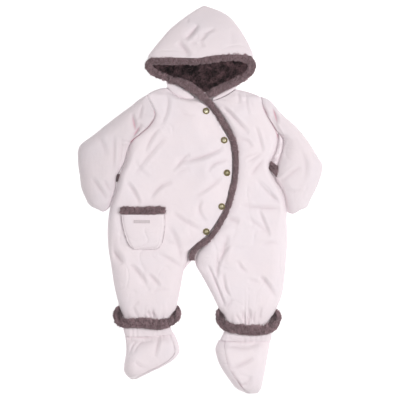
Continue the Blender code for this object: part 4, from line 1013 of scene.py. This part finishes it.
def pile_roll(name, rows, count, length, thick, seed, closed=False):
    """A roll of pile: an oval section, cos and sin of a turn, carried along the path of the table. Its
    inner side is darker, painted shade, where the table's dark column says that the mouth of the roll
    stands open."""
    sides, per_row, backing = 14, 9, 0.72
    rows_used = rows
    total = len(rows["x"])
    if closed:
        rows_used = {k: np.concatenate([v[-1:], v, v[:2]]) for k, v in rows.items() if k != "name"}
        down = 1 + np.arange(total * per_row) / per_row
    else:
        down = np.linspace(0, total - 1, (total - 1) * per_row + 1)
    centre = np.stack([smooth(rows_used[axis], down) for axis in "xyz"], axis=1)
    if closed:
        run = np.roll(centre, -1, axis=0) - np.roll(centre, 1, axis=0)
    else:
        run = np.gradient(centre, axis=0)
    run[:, 2] = 0
    run /= np.linalg.norm(run, axis=1)[:, None]
    aside = np.stack([-run[:, 1], run[:, 0], 0 * run[:, 0]], axis=1)
    wide, high = smooth(rows_used["wide"], down), smooth(rows_used["high"], down)
    lump = 1 + 0.10 * wander(down * 0.01, 0 * down, 0.006, seed)
    turn = 2 * np.pi * np.arange(sides) / sides
    out = (backing * lump * wide)[:, None, None] * np.cos(turn)[None, :, None]
    rings = centre[:, None] + aside[:, None] * out
    rings[:, :, 2] += (backing * lump * high)[:, None] * np.sin(turn)[None, :]
    rings = rings.reshape(-1, 3)
    number = np.arange(len(down) * sides).reshape(-1, sides)
    following = np.roll(number, -1, axis=0) if closed else number[1:]
    leading = number if closed else number[:-1]
    around = np.stack([leading, np.roll(leading, -1, 1), np.roll(following, -1, 1), following], axis=2)
    caps = [] if closed else [number[:1], number[-1:, ::-1]]
    rng = np.random.default_rng(seed)
    a, b = rings[leading.ravel()], rings[np.roll(leading, -1, 1).ravel()]
    c, d = rings[following.ravel()], rings[np.roll(following, -1, 1).ravel()]
    size = np.linalg.norm(np.cross(b - a, c - a), axis=1)
    pick = rng.choice(len(size), count, p=size / size.sum())
    u, v = rng.random((2, count, 1))
    roots = (a[pick] * (1 - u) + b[pick] * u) * (1 - v) + (c[pick] * (1 - u) + d[pick] * u) * v
    normals = np.cross(b - a, c - a)[pick]
    normals /= np.linalg.norm(normals, axis=1)[:, None]
    lock_row = leading.ravel()[pick] // sides
    core = centre[lock_row]
    normals *= np.sign(np.einsum("ij,ij->i", normals, roots - core))[:, None]
    vertices, tuft_quads, tuft_tris, tip, lock = locks(roots, normals, length, thick, seed + 1)
    start = len(rings)
    points = np.concatenate([rings, vertices])
    points[:, 2] = np.maximum(points[:, 2], gap)
    blocks = [np.concatenate([around.reshape(-1, 4), tuft_quads + start]), tuft_tris + start, *caps]
    tip = np.concatenate([np.full(start, 0.25), tip])
    lock = np.concatenate([np.full(start, 0.5), lock])
    # Painted shade on the inner side of the roll where its mouth stands open.
    if "dark" in rows:
        row = np.concatenate([np.repeat(np.arange(len(down)), sides), np.repeat(lock_row, lock_points)])
        inner = np.einsum("ij,ij->i", points - centre[row], aside[row]) / wide[row]
        shaded = smooth(rows_used["dark"], down)[row] * ease(inner, -0.35, 0.25)
        tip = tip * (1 - 0.8 * shaded)
        lock = lock - 0.6 * shaded
    piece = make_piece(name + "_pile", points, blocks, trim_pile, tip=tip, lock=lock)
    fix(piece, [name])


hood_edge = table("""
    place         x      y      z     wide   high
    end_right  -0.056  0.2395 0.021  0.006  0.0055
    jaw_right  -0.072  0.2435 0.021  0.007  0.006
    jaw_high   -0.087  0.2505 0.021  0.0075 0.006
    cheek      -0.098  0.2585 0.022  0.0075 0.0065
    tip_right  -0.1035 0.267  0.024  0.0075 0.007
    temple     -0.098  0.2745 0.027  0.0075 0.007
    brow_1     -0.082  0.2765 0.030  0.0082 0.007
    brow_2     -0.060  0.277  0.031  0.0085 0.007
    brow_3     -0.032  0.276  0.031  0.0085 0.007
    brow_4     -0.005  0.2765 0.031  0.0085 0.007
    brow_5      0.024  0.280  0.031  0.0085 0.007
    brow_6      0.050  0.2835 0.030  0.0085 0.007
    brow_7      0.074  0.2845 0.029  0.0085 0.007
    temple_l    0.092  0.281  0.027  0.0085 0.007
    tip_left    0.102  0.271  0.024  0.0085 0.007
    cheek_l     0.102  0.259  0.022  0.0085 0.007
    jaw_left    0.092  0.248  0.021  0.0085 0.007
    chin_1      0.073  0.2365 0.021  0.0085 0.007
    chin_2      0.050  0.2255 0.022  0.0085 0.007
    chin_3      0.031  0.216  0.023  0.0080 0.007
    end_left    0.014  0.208  0.021  0.0070 0.006
    """)
wrap_edge = table("""
    place         x      y      z     wide   high
    end_neck   -0.062  0.2375 0.026  0.0060 0.005
    neck_1     -0.0425 0.2350 0.027  0.0092 0.006
    neck_2     -0.023  0.2262 0.028  0.0098 0.006
    neck_3     -0.004  0.2125 0.029  0.0098 0.006
    throat      0.0145 0.1955 0.028  0.0078 0.006
    chest_1     0.034  0.171  0.028  0.0062 0.0055
    chest_2     0.052  0.143  0.027  0.0060 0.0052
    chest_3     0.0668 0.113  0.027  0.0060 0.0052
    belly_1     0.071  0.077  0.027  0.0060 0.0052
    belly_2     0.0695 0.043  0.027  0.0060 0.0052
    belly_3     0.063  0.011  0.027  0.0060 0.0052
    belly_4     0.0545 -0.018 0.027  0.0060 0.0052
    hip_1       0.0405 -0.046 0.027  0.0062 0.0052
    hip_2       0.0205 -0.0755 0.027  0.0064 0.0052
    seat_1     -0.005 -0.094  0.027  0.0066 0.0052
    seat_2     -0.0155 -0.108 0.0245 0.0066 0.0055
    crotch     -0.0165 -0.1215 0.023  0.0056 0.0055
    """)
ankle_right = table("""
    place         x      y      z     wide   high   dark
    front_1    -0.160 -0.2425 0.028  0.0098 0.007   0.3
    front_2    -0.142 -0.2465 0.035  0.0100 0.007   0.0
    front_3    -0.118 -0.2450 0.0362 0.0100 0.007   0.0
    front_4    -0.092 -0.2480 0.0362 0.0104 0.007   0.0
    front_5    -0.068 -0.2465 0.035  0.0100 0.007   0.0
    front_6    -0.0515 -0.2385 0.026  0.0094 0.007   0.3
    tip_in     -0.0485 -0.2240 0.014  0.0100 0.007   1.0
    back_1     -0.052 -0.2160 0.0062 0.007  0.0055   1.0
    back_2     -0.081 -0.217  0.0060 0.006  0.0055   1.0
    back_3     -0.111 -0.217  0.0060 0.006  0.0055   1.0
    back_4     -0.141 -0.217  0.0060 0.006  0.0055   1.0
    back_5     -0.158 -0.2175 0.0062 0.007  0.0055   1.0
    tip_out    -0.1645 -0.228 0.016  0.0102 0.007   1.0
    """)
ankle_left = table("""
    place         x      y      z     wide   high   dark
    front_1     0.043 -0.2460 0.028  0.0096 0.007   0.3
    front_2     0.059 -0.2545 0.035  0.0102 0.007   0.0
    front_3     0.083 -0.2585 0.0362 0.0102 0.007   0.0
    front_4     0.109 -0.2600 0.0362 0.0104 0.007   0.0
    front_5     0.133 -0.2575 0.035  0.0104 0.007   0.0
    front_6     0.1465 -0.2475 0.026  0.0116 0.007   0.3
    tip_out     0.1518 -0.2345 0.015  0.0110 0.007   1.0
    back_1      0.147 -0.2260 0.0062 0.007  0.0055   1.0
    back_2      0.123 -0.225  0.0060 0.006  0.0055   1.0
    back_3      0.096 -0.226  0.0060 0.006  0.0055   1.0
    back_4      0.064 -0.226  0.0060 0.006  0.0055   1.0
    back_5      0.043 -0.2220 0.0062 0.007  0.0055   1.0
    tip_in      0.0395 -0.2330 0.016  0.0098 0.007   1.0
    """)

pile_roll("hood_trim", hood_edge, 9500, 0.0036, 0.0008, 101)
pile_roll("front_trim", wrap_edge, 8500, 0.0030, 0.0007, 102)
pile_roll("leg_right_trim", ankle_right, 8500, 0.0040, 0.0009, 103, closed=True)
pile_roll("leg_left_trim", ankle_left, 8500, 0.0040, 0.0009, 104, closed=True)

pocket_mouth = table("""
    place         x      y     wide   high
    end_side   -0.159  -0.021  0.004  0.0030
    side       -0.152  -0.0215 0.0072 0.0046
    middle_1   -0.133  -0.0222 0.0074 0.0048
    middle_2   -0.113  -0.0224 0.0074 0.0048
    middle_3   -0.093  -0.0218 0.0074 0.0048
    front      -0.077  -0.0208 0.0074 0.0046
    end_front  -0.070  -0.0205 0.004  0.0030
    """)
mouth_seat = right_front_height(pocket_mouth["x"], pocket_mouth["y"])
pocket_mouth["z"] = mouth_seat + pocket_mouth["high"] + 2 * gap
pile_roll("pocket_trim", pocket_mouth, 3600, 0.0036, 0.0007, 105)


def pile_sheet(name, surface, under, count, length, thick, seed, finish, tone):
    """A flat pile: a thin closed backing between two grids, and locks standing on its face. tone is
    how light the pile is at each place, 0 to 1, which carries painted light and shade as well as
    clouding of its own."""
    tones = np.broadcast_to(tone, surface.shape[:2]).ravel()
    faces, number = grid_faces(*surface.shape[:2])
    flat = surface.reshape(-1, 3)
    a, b, c = flat[faces[:, 0]], flat[faces[:, 1]], flat[faces[:, 3]]
    normal = np.cross(b - a, c - a)
    size = np.linalg.norm(normal, axis=1)
    rng = np.random.default_rng(seed)
    pick = rng.choice(len(faces), count, p=size / size.sum())
    u, v = rng.random((2, count, 1))
    roots = a[pick] + (b - a)[pick] * u + (c - a)[pick] * v
    up = normal[pick] / size[pick][:, None]
    outwards = (surface - under).reshape(-1, 3)[faces[:, 0]][pick]
    up *= np.sign(np.einsum("ij,ij->i", up, outwards))[:, None]
    vertices, quads, triangles, tip, lock = locks(roots, up, length, thick, seed + 1, (0.25, -0.2, 0.0))
    points = np.concatenate([flat, under.reshape(-1, 3)])
    bottom = faces[:, ::-1] + len(flat)
    edge = np.concatenate([number[0, :], number[1:-1, -1], number[-1, ::-1], number[-2:0:-1, 0]])
    walls = np.stack([np.roll(edge, -1), edge, edge + len(flat), np.roll(edge, -1) + len(flat)], axis=1)
    start = len(points)
    blocks = [np.concatenate([faces, bottom, walls, quads + start]), triangles + start]
    tip = np.concatenate([np.full(start, 0.2), tip])
    lock = lock + np.repeat(tones[faces[:, 0][pick]] - 0.5, lock_points)
    lock = np.concatenate([tones, tones, lock])
    piece = make_piece(name + "_pile", np.concatenate([points, vertices]), blocks, finish, tip=tip, lock=lock)
    fix(piece, [name])


lining_folds = table("""
    fold          x1      y1      x2      y2      x3      y3     deep    wide
    left_rib    0.0900  0.272   0.0780  0.262   0.0720  0.248  0.0070  0.0030
    left_rib_b  0.0760  0.275   0.0660  0.262   0.0590  0.244  0.0060  0.0030
    left_rib_c  0.0620  0.272   0.0500  0.258   0.0440  0.238  0.0065  0.0030
    mid_rib     0.0300  0.272   0.0160  0.252   0.0150  0.225  0.0080  0.0034
    mid_rib_b   0.0080  0.270   0.0040  0.250   0.0080  0.230  0.0070  0.0030
    right_rib  -0.0100  0.270  -0.0150  0.255  -0.0050  0.238  0.0065  0.0034
    right_low  -0.0850  0.262  -0.0550  0.264  -0.0250  0.255  0.0070  0.0030
    right_mid  -0.0600  0.272  -0.0400  0.266  -0.0200  0.268  0.0055  0.0030
    """)
lining_thick = 0.004
floor_turn = turn[:, turns // 2 :]
lining_start = 3
lining_end = 8.6 + 1.4 * ease(floor_turn, 0.66 * np.pi, 0.90 * np.pi)
down = lining_start + (lining_end - lining_start) * np.linspace(0, 1, 90)[:, None]
layers = []
for inset in (wall + gap + lining_thick, wall + gap):
    right = hood_surface(hood_right, down, floor_turn, inset, -1)[0]
    left = hood_surface(hood_left, down[:, :-1], floor_turn[:, :-1], inset, 1)[0]
    layers.append(np.concatenate([right, left[:, ::-1]], axis=1))
across, along = layers[0][:, :, 0], layers[0][:, :, 1]
lowered, depth = folded(across, along, lining_folds)
ripple = 0.0030 * wander(across, along, 0.013, 71)
# The lining's tone: painted shade down in its folds, a painted highlight where it catches the light near the
# left of the face opening, and uneven clouding of its own.
lit = np.exp(-(((across - 0.084) / 0.016) ** 2) - ((along - 0.262) / 0.010) ** 2)
lining_light_shade_and_mottle = 0.28 - 0.45 * depth + 0.36 * wander(across, along, 0.009, 73) + 0.42 * lit
layers[0][:, :, 2] += np.maximum(0.0055 - lowered + ripple, -0.003)
pile_sheet("hood_lining", layers[0], layers[1], 12000, 0.0042, 0.0008, 106, lining_pile,
           lining_light_shade_and_mottle)

facing_tables = {
    "cuff_left_fur": table("""
    corner      x0      y0      x1      y1     low    pad
    high     0.1412  0.0760  0.1552  0.0660  0.0225 0.0030
    middle   0.1385  0.0690  0.1540  0.0560  0.0225 0.0040
    low      0.1352  0.0625  0.1518  0.0450  0.0225 0.0030
    """),
    "cuff_right_fur": table("""
    corner      x0      y0      x1      y1     low    pad
    high    -0.1600  0.0502 -0.1660  0.0502  0.0135 0.0100
    middle  -0.1625  0.0430 -0.1660  0.0430  0.0135 0.0100
    low     -0.1648  0.0360 -0.1662  0.0360  0.0135 0.0080
    """)}
# The right facing lies low in the gap between body and sleeve, so its darker tone is painted shade.
facing_tones = {"cuff_left_fur": 0.35, "cuff_right_fur": 0.0}
for seed, (name, rows) in enumerate(facing_tables.items(), start=107):
    down = np.linspace(0, 2, 16)[:, None]
    share = np.linspace(0, 1, 10)[None, :]
    x0, y0, x1, y1 = (smooth(rows[column], down) for column in ("x0", "y0", "x1", "y1"))
    x = x0 + (x1 - x0) * share
    y = y0 + (y1 - y0) * share
    lower = smooth(rows["low"], down) + 0 * x
    upper = lower + rim + smooth(rows["pad"], down) * np.sqrt(4 * share * (1 - share))
    pile_sheet(name, np.stack([x, y, upper], axis=2), np.stack([x, y, lower], axis=2), 700, 0.0020, 0.0006,
               seed, trim_pile, facing_tones[name])


# ---- Collars -------------------------------------------------------------------------------------
# Short padded bands between the neck seam and the hood, topstitched near the hood's edge.

collar_tables = {
    "collar_right": table("""
    section   top_x   top_y   low_x   low_y   crown
    end_side  -0.068   0.2370  -0.066   0.2238  0.005
    side      -0.057   0.2345  -0.058   0.2143  0.006
    middle    -0.044   0.2275  -0.044   0.2038  0.007
    front     -0.030   0.2205  -0.030   0.1992  0.007
    wrap      -0.018   0.2120  -0.018   0.1992  0.005
    end_wrap  -0.013   0.2070  -0.012   0.2015  0.003
    """),
    "collar_left": table("""
    section   top_x   top_y   low_x   low_y   crown
    end_wrap   0.026   0.2035   0.024   0.1965  0.003
    front      0.044   0.2140   0.043   0.2031  0.005
    side       0.059   0.2220   0.058   0.2113  0.006
    end_side   0.074   0.2290   0.070   0.2198  0.004
    """)}
for name, rows in collar_tables.items():
    down = np.linspace(0, len(rows["crown"]) - 1, 90)[:, None]
    x, y, from_top, from_low = plan(rows, "top", "low", down, np.linspace(0, 1, 24)[None, :])
    crown = smooth(rows["crown"], down)
    reach = np.maximum((from_top + from_low) / 2, 1e-4)
    lower = np.full_like(x, parting + 8 * gap)
    soft = crumpled(x, y, 81) * 0.5 * ease(np.minimum(from_top, from_low), 0, 0.004)
    upper = lower + rim + crown * rise(from_top, reach) * rise(from_low, reach) + soft
    upper = np.maximum(upper, lower + 0.001)
    piece = panel(name, x, y, upper, lower, 0 * x, shell)
    sew(piece, [name])


# ---- Bootees -------------------------------------------------------------------------------------
# Padded feet in two sides with a sole strip between them, on a gathered ankle band that goes up
# inside the pile roll of the leg.

bootee_tables = {
    "right": (table("""
    section    top_x   top_y  heel_x  heel_y  thick
    inside    -0.150  -0.239  -0.058  -0.239  0.016
    neck      -0.153  -0.259  -0.058  -0.256  0.0215
    end       -0.150  -0.272  -0.052  -0.268  0.026
    """), table("""
    section    top_x   top_y  heel_x  heel_y  thick  sole
    ankle     -0.150  -0.2721 -0.051  -0.2681 0.028  0.008
    heel_1    -0.148  -0.289  -0.044  -0.285  0.036  0.009
    heel      -0.148  -0.304  -0.041  -0.303  0.040  0.009
    foot_1    -0.150  -0.318  -0.051  -0.318  0.041  0.009
    foot_2    -0.152  -0.331  -0.072  -0.332  0.041  0.009
    foot_3    -0.152  -0.342  -0.095  -0.343  0.039  0.009
    toe_1     -0.146  -0.352  -0.115  -0.353  0.034  0.008
    toe       -0.138  -0.359  -0.128  -0.359  0.022  0.004
    """)),
    "left": (table("""
    section    top_x   top_y  heel_x  heel_y  thick
    inside     0.138  -0.252   0.052  -0.252  0.016
    neck       0.143  -0.268   0.046  -0.266  0.0215
    end        0.141  -0.281   0.039  -0.280  0.026
    """), table("""
    section    top_x   top_y  heel_x  heel_y  thick  sole
    ankle      0.140  -0.2811  0.037  -0.2801 0.028  0.012
    heel       0.137  -0.299   0.030  -0.297  0.036  0.018
    foot_1     0.133  -0.320   0.034  -0.318  0.040  0.018
    foot_2     0.130  -0.338   0.042  -0.336  0.041  0.017
    foot_3     0.126  -0.357   0.056  -0.357  0.041  0.015
    toe_1      0.122  -0.376   0.072  -0.377  0.036  0.013
    toe        0.115  -0.387   0.092  -0.387  0.024  0.006
    """))}
foot_folds = table("""
    fold        x1     y1     x2     y2     x3     y3    deep   wide
    r_side   -0.0825 -0.267 -0.0865 -0.291 -0.0925 -0.313 0.0026 0.0030
    r_ankle  -0.1450 -0.277 -0.1200 -0.284 -0.0950 -0.280 0.0020 0.0024
    r_toe    -0.1300 -0.320 -0.1200 -0.332 -0.1000 -0.335 0.0016 0.0030
    r_side_a -0.1425 -0.312 -0.1375 -0.297 -0.1277 -0.283 0.0026 0.0022
    r_side_b -0.1326 -0.307 -0.1253 -0.293 -0.1144 -0.282 0.0024 0.0022
    l_arc_a   0.0420 -0.270  0.0750 -0.278  0.1300 -0.276 0.0020 0.0024
    l_arc_b   0.0480 -0.288  0.0800 -0.295  0.1000 -0.294 0.0020 0.0022
    l_knot_a  0.0720 -0.361  0.0783 -0.371  0.0800 -0.380 0.0026 0.0020
    l_knot_b  0.0780 -0.371  0.0840 -0.369  0.0910 -0.365 0.0022 0.0018
    l_cross   0.1050 -0.314  0.0850 -0.326  0.0600 -0.337 0.0030 0.0028
    l_ankle   0.0600 -0.288  0.0850 -0.292  0.1150 -0.288 0.0020 0.0024
    l_toe     0.1000 -0.350  0.0950 -0.362  0.0850 -0.372 0.0018 0.0030
    """)
band_bow = np.array([0.0, -0.001, -0.0025])
ankle_bow = -0.0025
ankle_seam = {"right": -0.2727, "left": -0.2817}
band_middle = 0.0185
band_round, foot_round = 0.012, 0.024


def stuff(piece, node):
    """Fixes a padded piece of a bootee in the frame."""
    fix(piece, [node])


for side, (band, foot) in bootee_tables.items():
    down = np.linspace(0, 2, 40)[:, None]
    share = across_steps(90)
    x, y, from_top, from_heel = plan(band, "top", "heel", down, share, band_bow)
    half = smooth(band["thick"], down) / 2
    middle = band_middle + 0.00025 * down
    pucker = gathers(x, 0 * x, 0.012, 0.0009, 1.0, 91) + np.maximum(folded(x, y, foot_folds)[0], 0)
    bulge = rim / 2 + (half - rim / 2) * rise(from_top, band_round) * rise(from_heel, band_round)
    over = middle + np.maximum(bulge - pucker * rise(np.minimum(from_top, from_heel), 0.01), rim / 2)
    under = middle - np.maximum(bulge - 0.6 * pucker, rim / 2)
    whole = np.ones((x.shape[0] - 1, x.shape[1] - 1), bool)
    # The band's puckers are painted as shade in the folds.
    piece = walled(f"bootee_{side}_band", np.stack([x, y, over], axis=2), np.stack([x, y, under], axis=2),
                   whole, pucker / 0.006, shell)
    stuff(piece, f"bootee_{side}_band")

    last = len(foot["thick"]) - 1
    foot_bow = np.array([ankle_bow] + [0.0] * last)
    down = np.linspace(0, last, 84)[:, None]
    sole = smooth(foot["sole"], down)
    half = smooth(foot["thick"], down) / 2
    width = plan(foot, "top", "heel", down, np.array([[0.0, 1.0]]))[2][:, 1:]
    limit = 1 - sole / width
    for part, steps in (("upper", 70), ("sole", 18)):
        spread = across_steps(steps)
        sole_from = limit + gap / width
        share = limit * spread if part == "upper" else sole_from + (1 - sole_from) * spread
        x, y, _, _ = plan(foot, "top", "heel", down, share, foot_bow)
        from_top, from_heel = width * share, width * (1 - share)
        bulge = (half - rim / 2) * rise(from_top, foot_round) * rise(from_heel, foot_round)
        if part == "sole":
            bulge = bulge + rim / 2
            crimp = gathers(y, 0 * x, 0.010, 0.0010, 1.0, 95)
            over, under = half + bulge - crimp, np.maximum(half - bulge + crimp, 0.0)
            whole = np.ones((x.shape[0] - 1, x.shape[1] - 1), bool)
            piece = walled(f"bootee_{side}_sole", np.stack([x, y, over], axis=2),
                           np.stack([x, y, under], axis=2), whole, 0 * x, shell)
            stuff(piece, f"bootee_{side}_sole")
        else:
            lowered, depth = folded(x, y, foot_folds)
            gather = gathers(x, np.maximum(ankle_seam[side] - y, 0), 0.0110, 0.0017, 0.007, 93)
            inside = ease(np.minimum(from_top, from_heel), 0.0, 0.012)
            seam = 0.0022 * np.exp(-(width * (limit - share)) / 0.003)
            above = bulge - inside * (lowered - crumpled(x, y, 97)) - gather - seam
            below = bulge - inside * 0.5 * np.abs(crumpled(x, y, 99)) - gather
            over = half + rim / 2 + np.maximum(above, 0)
            under = np.maximum(half - rim / 2 - np.maximum(below, 0), 0.0)
            parted = half + 0 * x
            upper_side = panel(f"bootee_{side}_upper", x, y, over, parted + gap / 2, depth * inside, shell)
            under_side = panel(f"bootee_{side}_under", x, y, under, parted - gap / 2, 0 * x, shell)
            stuff(under_side, f"bootee_{side}_under")
            stuff(upper_side, f"bootee_{side}_upper")


# ---- Pocket --------------------------------------------------------------------------------------
# A rounded patch pocket on the right hip, lightly padded, its mouth turned down in pile, with a
# blank woven strip sewn below the mouth.

pocket_shape = table("""
    section    left_x  right_x    y
    mouth     -0.1580  -0.0700 -0.0302
    middle    -0.1560  -0.0695 -0.047
    lower     -0.1520  -0.0710 -0.065
    corner    -0.1450  -0.0748 -0.085
    turn      -0.1400  -0.0790 -0.0935
    foot      -0.1320  -0.0860 -0.0990
    """)
pocket_foot = -0.101
pocket_pad = 0.0040
down = np.linspace(0, 5, 80)[:, None]
left, right = smooth(pocket_shape["left_x"], down), smooth(pocket_shape["right_x"], down)
x = left + (right - left) * across_steps(70)
y = np.broadcast_to(smooth(pocket_shape["y"], down), x.shape)
lower = right_front_height(x, y) + 3 * gap
edge = np.minimum(np.minimum(x - left, right - x), y - pocket_foot)
stitch = 0.0010 * np.exp(-(((edge - 0.0035) / 0.0012) ** 2))
soft = 0.35 * crumpled(x, y, 111) * ease(edge, 0, 0.01)
upper = np.maximum(lower + rim + pocket_pad * rise(edge, 0.014) - stitch + soft, lower + 0.001)
# A thin dark line round the pocket's edge, in dashes: painted shadow where the pocket stands off the front.
dashes = 0.35 + 0.65 * ease(wander(x, y, 0.007, 117), -0.3, 0.3)
outline = np.exp(-((edge / 0.0016) ** 2)) * dashes
# The stitch groove is painted as shade in the folds.
pocket = panel("pocket", x, y, upper, lower, stitch / 0.0040, shell, outline)
sew(pocket, ["pocket"])

tape = Finish("woven_tape", Roughness=0.6)
tape.feed("Base Color", tape.blend(tape.noise(400.0, 2.0), (0.70, 0.62, 0.64), (0.50, 0.43, 0.45)))
x, y = np.meshgrid(np.linspace(-0.132, -0.100, 40), np.linspace(-0.041, -0.047, 12))
lower = right_front_height(x, y) + 3 * gap + rim + pocket_pad + 2 * gap
label = panel("pocket_label", x, y, lower + 0.0008, lower, 0 * x, tape.material)
fix(label, ["pocket_label"])


# ---- Snaps ---------------------------------------------------------------------------------------
# Five domed antique-brass press studs in the wrap, each in a darker rolled rim.

brass = Finish("antique_brass", Metallic=0.7)
patina = ((brass.noise(15.0, 0.0) - 0.42) * 5.0).clamp()
bright = brass.blend(brass.noise(260.0, 3.0), (0.62, 0.58, 0.44), (0.36, 0.32, 0.21))
brass.feed("Base Color", brass.blend(patina * 0.85, bright, (0.17, 0.14, 0.075)))
brass.feed("Roughness", brass.noise(400.0, 2.0) * 0.25 + 0.30)
dark_brass = Finish("dark_brass_rim", Metallic=0.6)
rolled = dark_brass.blend(dark_brass.noise(300.0), (0.30, 0.24, 0.12), (0.17, 0.13, 0.065))
dark_brass.feed("Base Color", rolled)
dark_brass.feed("Roughness", dark_brass.noise(400.0) * 0.2 + 0.40)


def turned(name, radius, height, place, tilt, finish):
    """A solid of revolution: radius and height arrays from the axis round to the axis again."""
    steps = 40
    spin = 2 * np.pi * np.arange(steps) / steps
    side = np.cross(tilt, (0.0, 1.0, 0.0))
    side /= np.linalg.norm(side)
    other = np.cross(tilt, side)
    ring = np.cos(spin)[:, None] * side + np.sin(spin)[:, None] * other
    points = place + radius[:, None, None] * ring + (height[:, None] * tilt)[:, None]
    number = np.arange(len(radius) * steps).reshape(-1, steps)
    lead, follow = number[:-1], number[1:]
    quads = np.stack([lead, np.roll(lead, -1, 1), np.roll(follow, -1, 1), follow], axis=2).reshape(-1, 4)
    piece = make_piece(name + "_metal", points.reshape(-1, 3), [quads, number[:1, ::-1], number[-1:]], finish)
    fix(piece, [name])


snaps = table("""
    snap       x       y
    throat   0.0115  0.1760
    chest    0.0475  0.1180
    belly    0.0530  0.0530
    waist    0.0425 -0.0140
    hip      0.0120 -0.0640
    """)
probe = 0.006
lift = 0.0004


def front_slope(step_x, step_y):
    """Slope of the right front at each snap: the rise between two places a probe to either side."""
    ahead = right_front_height(snaps["x"] + step_x, snaps["y"] + step_y)
    behind = right_front_height(snaps["x"] - step_x, snaps["y"] - step_y)
    return (ahead - behind) / (2 * probe)


lip = np.linspace(-0.3 * np.pi, np.pi, 16)
ring_radius = np.concatenate([[0.0005], 0.0057 + 0.0010 * np.cos(lip), [0.0044, 0.0005]])
ring_height = np.concatenate([[0.0], 0.0008 + 0.0008 * np.sin(lip), [0.0006, 0.0006]])
dome = np.linspace(0, np.pi / 2, 12)[:-1]
cap_radius = np.concatenate([[0.0003], 0.0045 * np.cos(dome)])
cap_height = np.concatenate([[0.0008], 0.0010 + 0.0013 * np.sin(dome)])
seats = np.stack([snaps["x"], snaps["y"], right_front_height(snaps["x"], snaps["y"])], axis=1)
tilts = np.stack([-front_slope(probe, 0.0), -front_slope(0.0, probe), 0 * snaps["x"] + 1.0], axis=1)
tilts /= np.linalg.norm(tilts, axis=1)[:, None]
for number, (seat, tilt) in enumerate(zip(seats, tilts), start=1):
    place = seat + tilt * lift
    turned(f"snap_{number}_ring", ring_radius, ring_height, place, tilt, dark_brass.material)
    turned(f"snap_{number}", cap_radius, cap_height, place, tilt, brass.material)
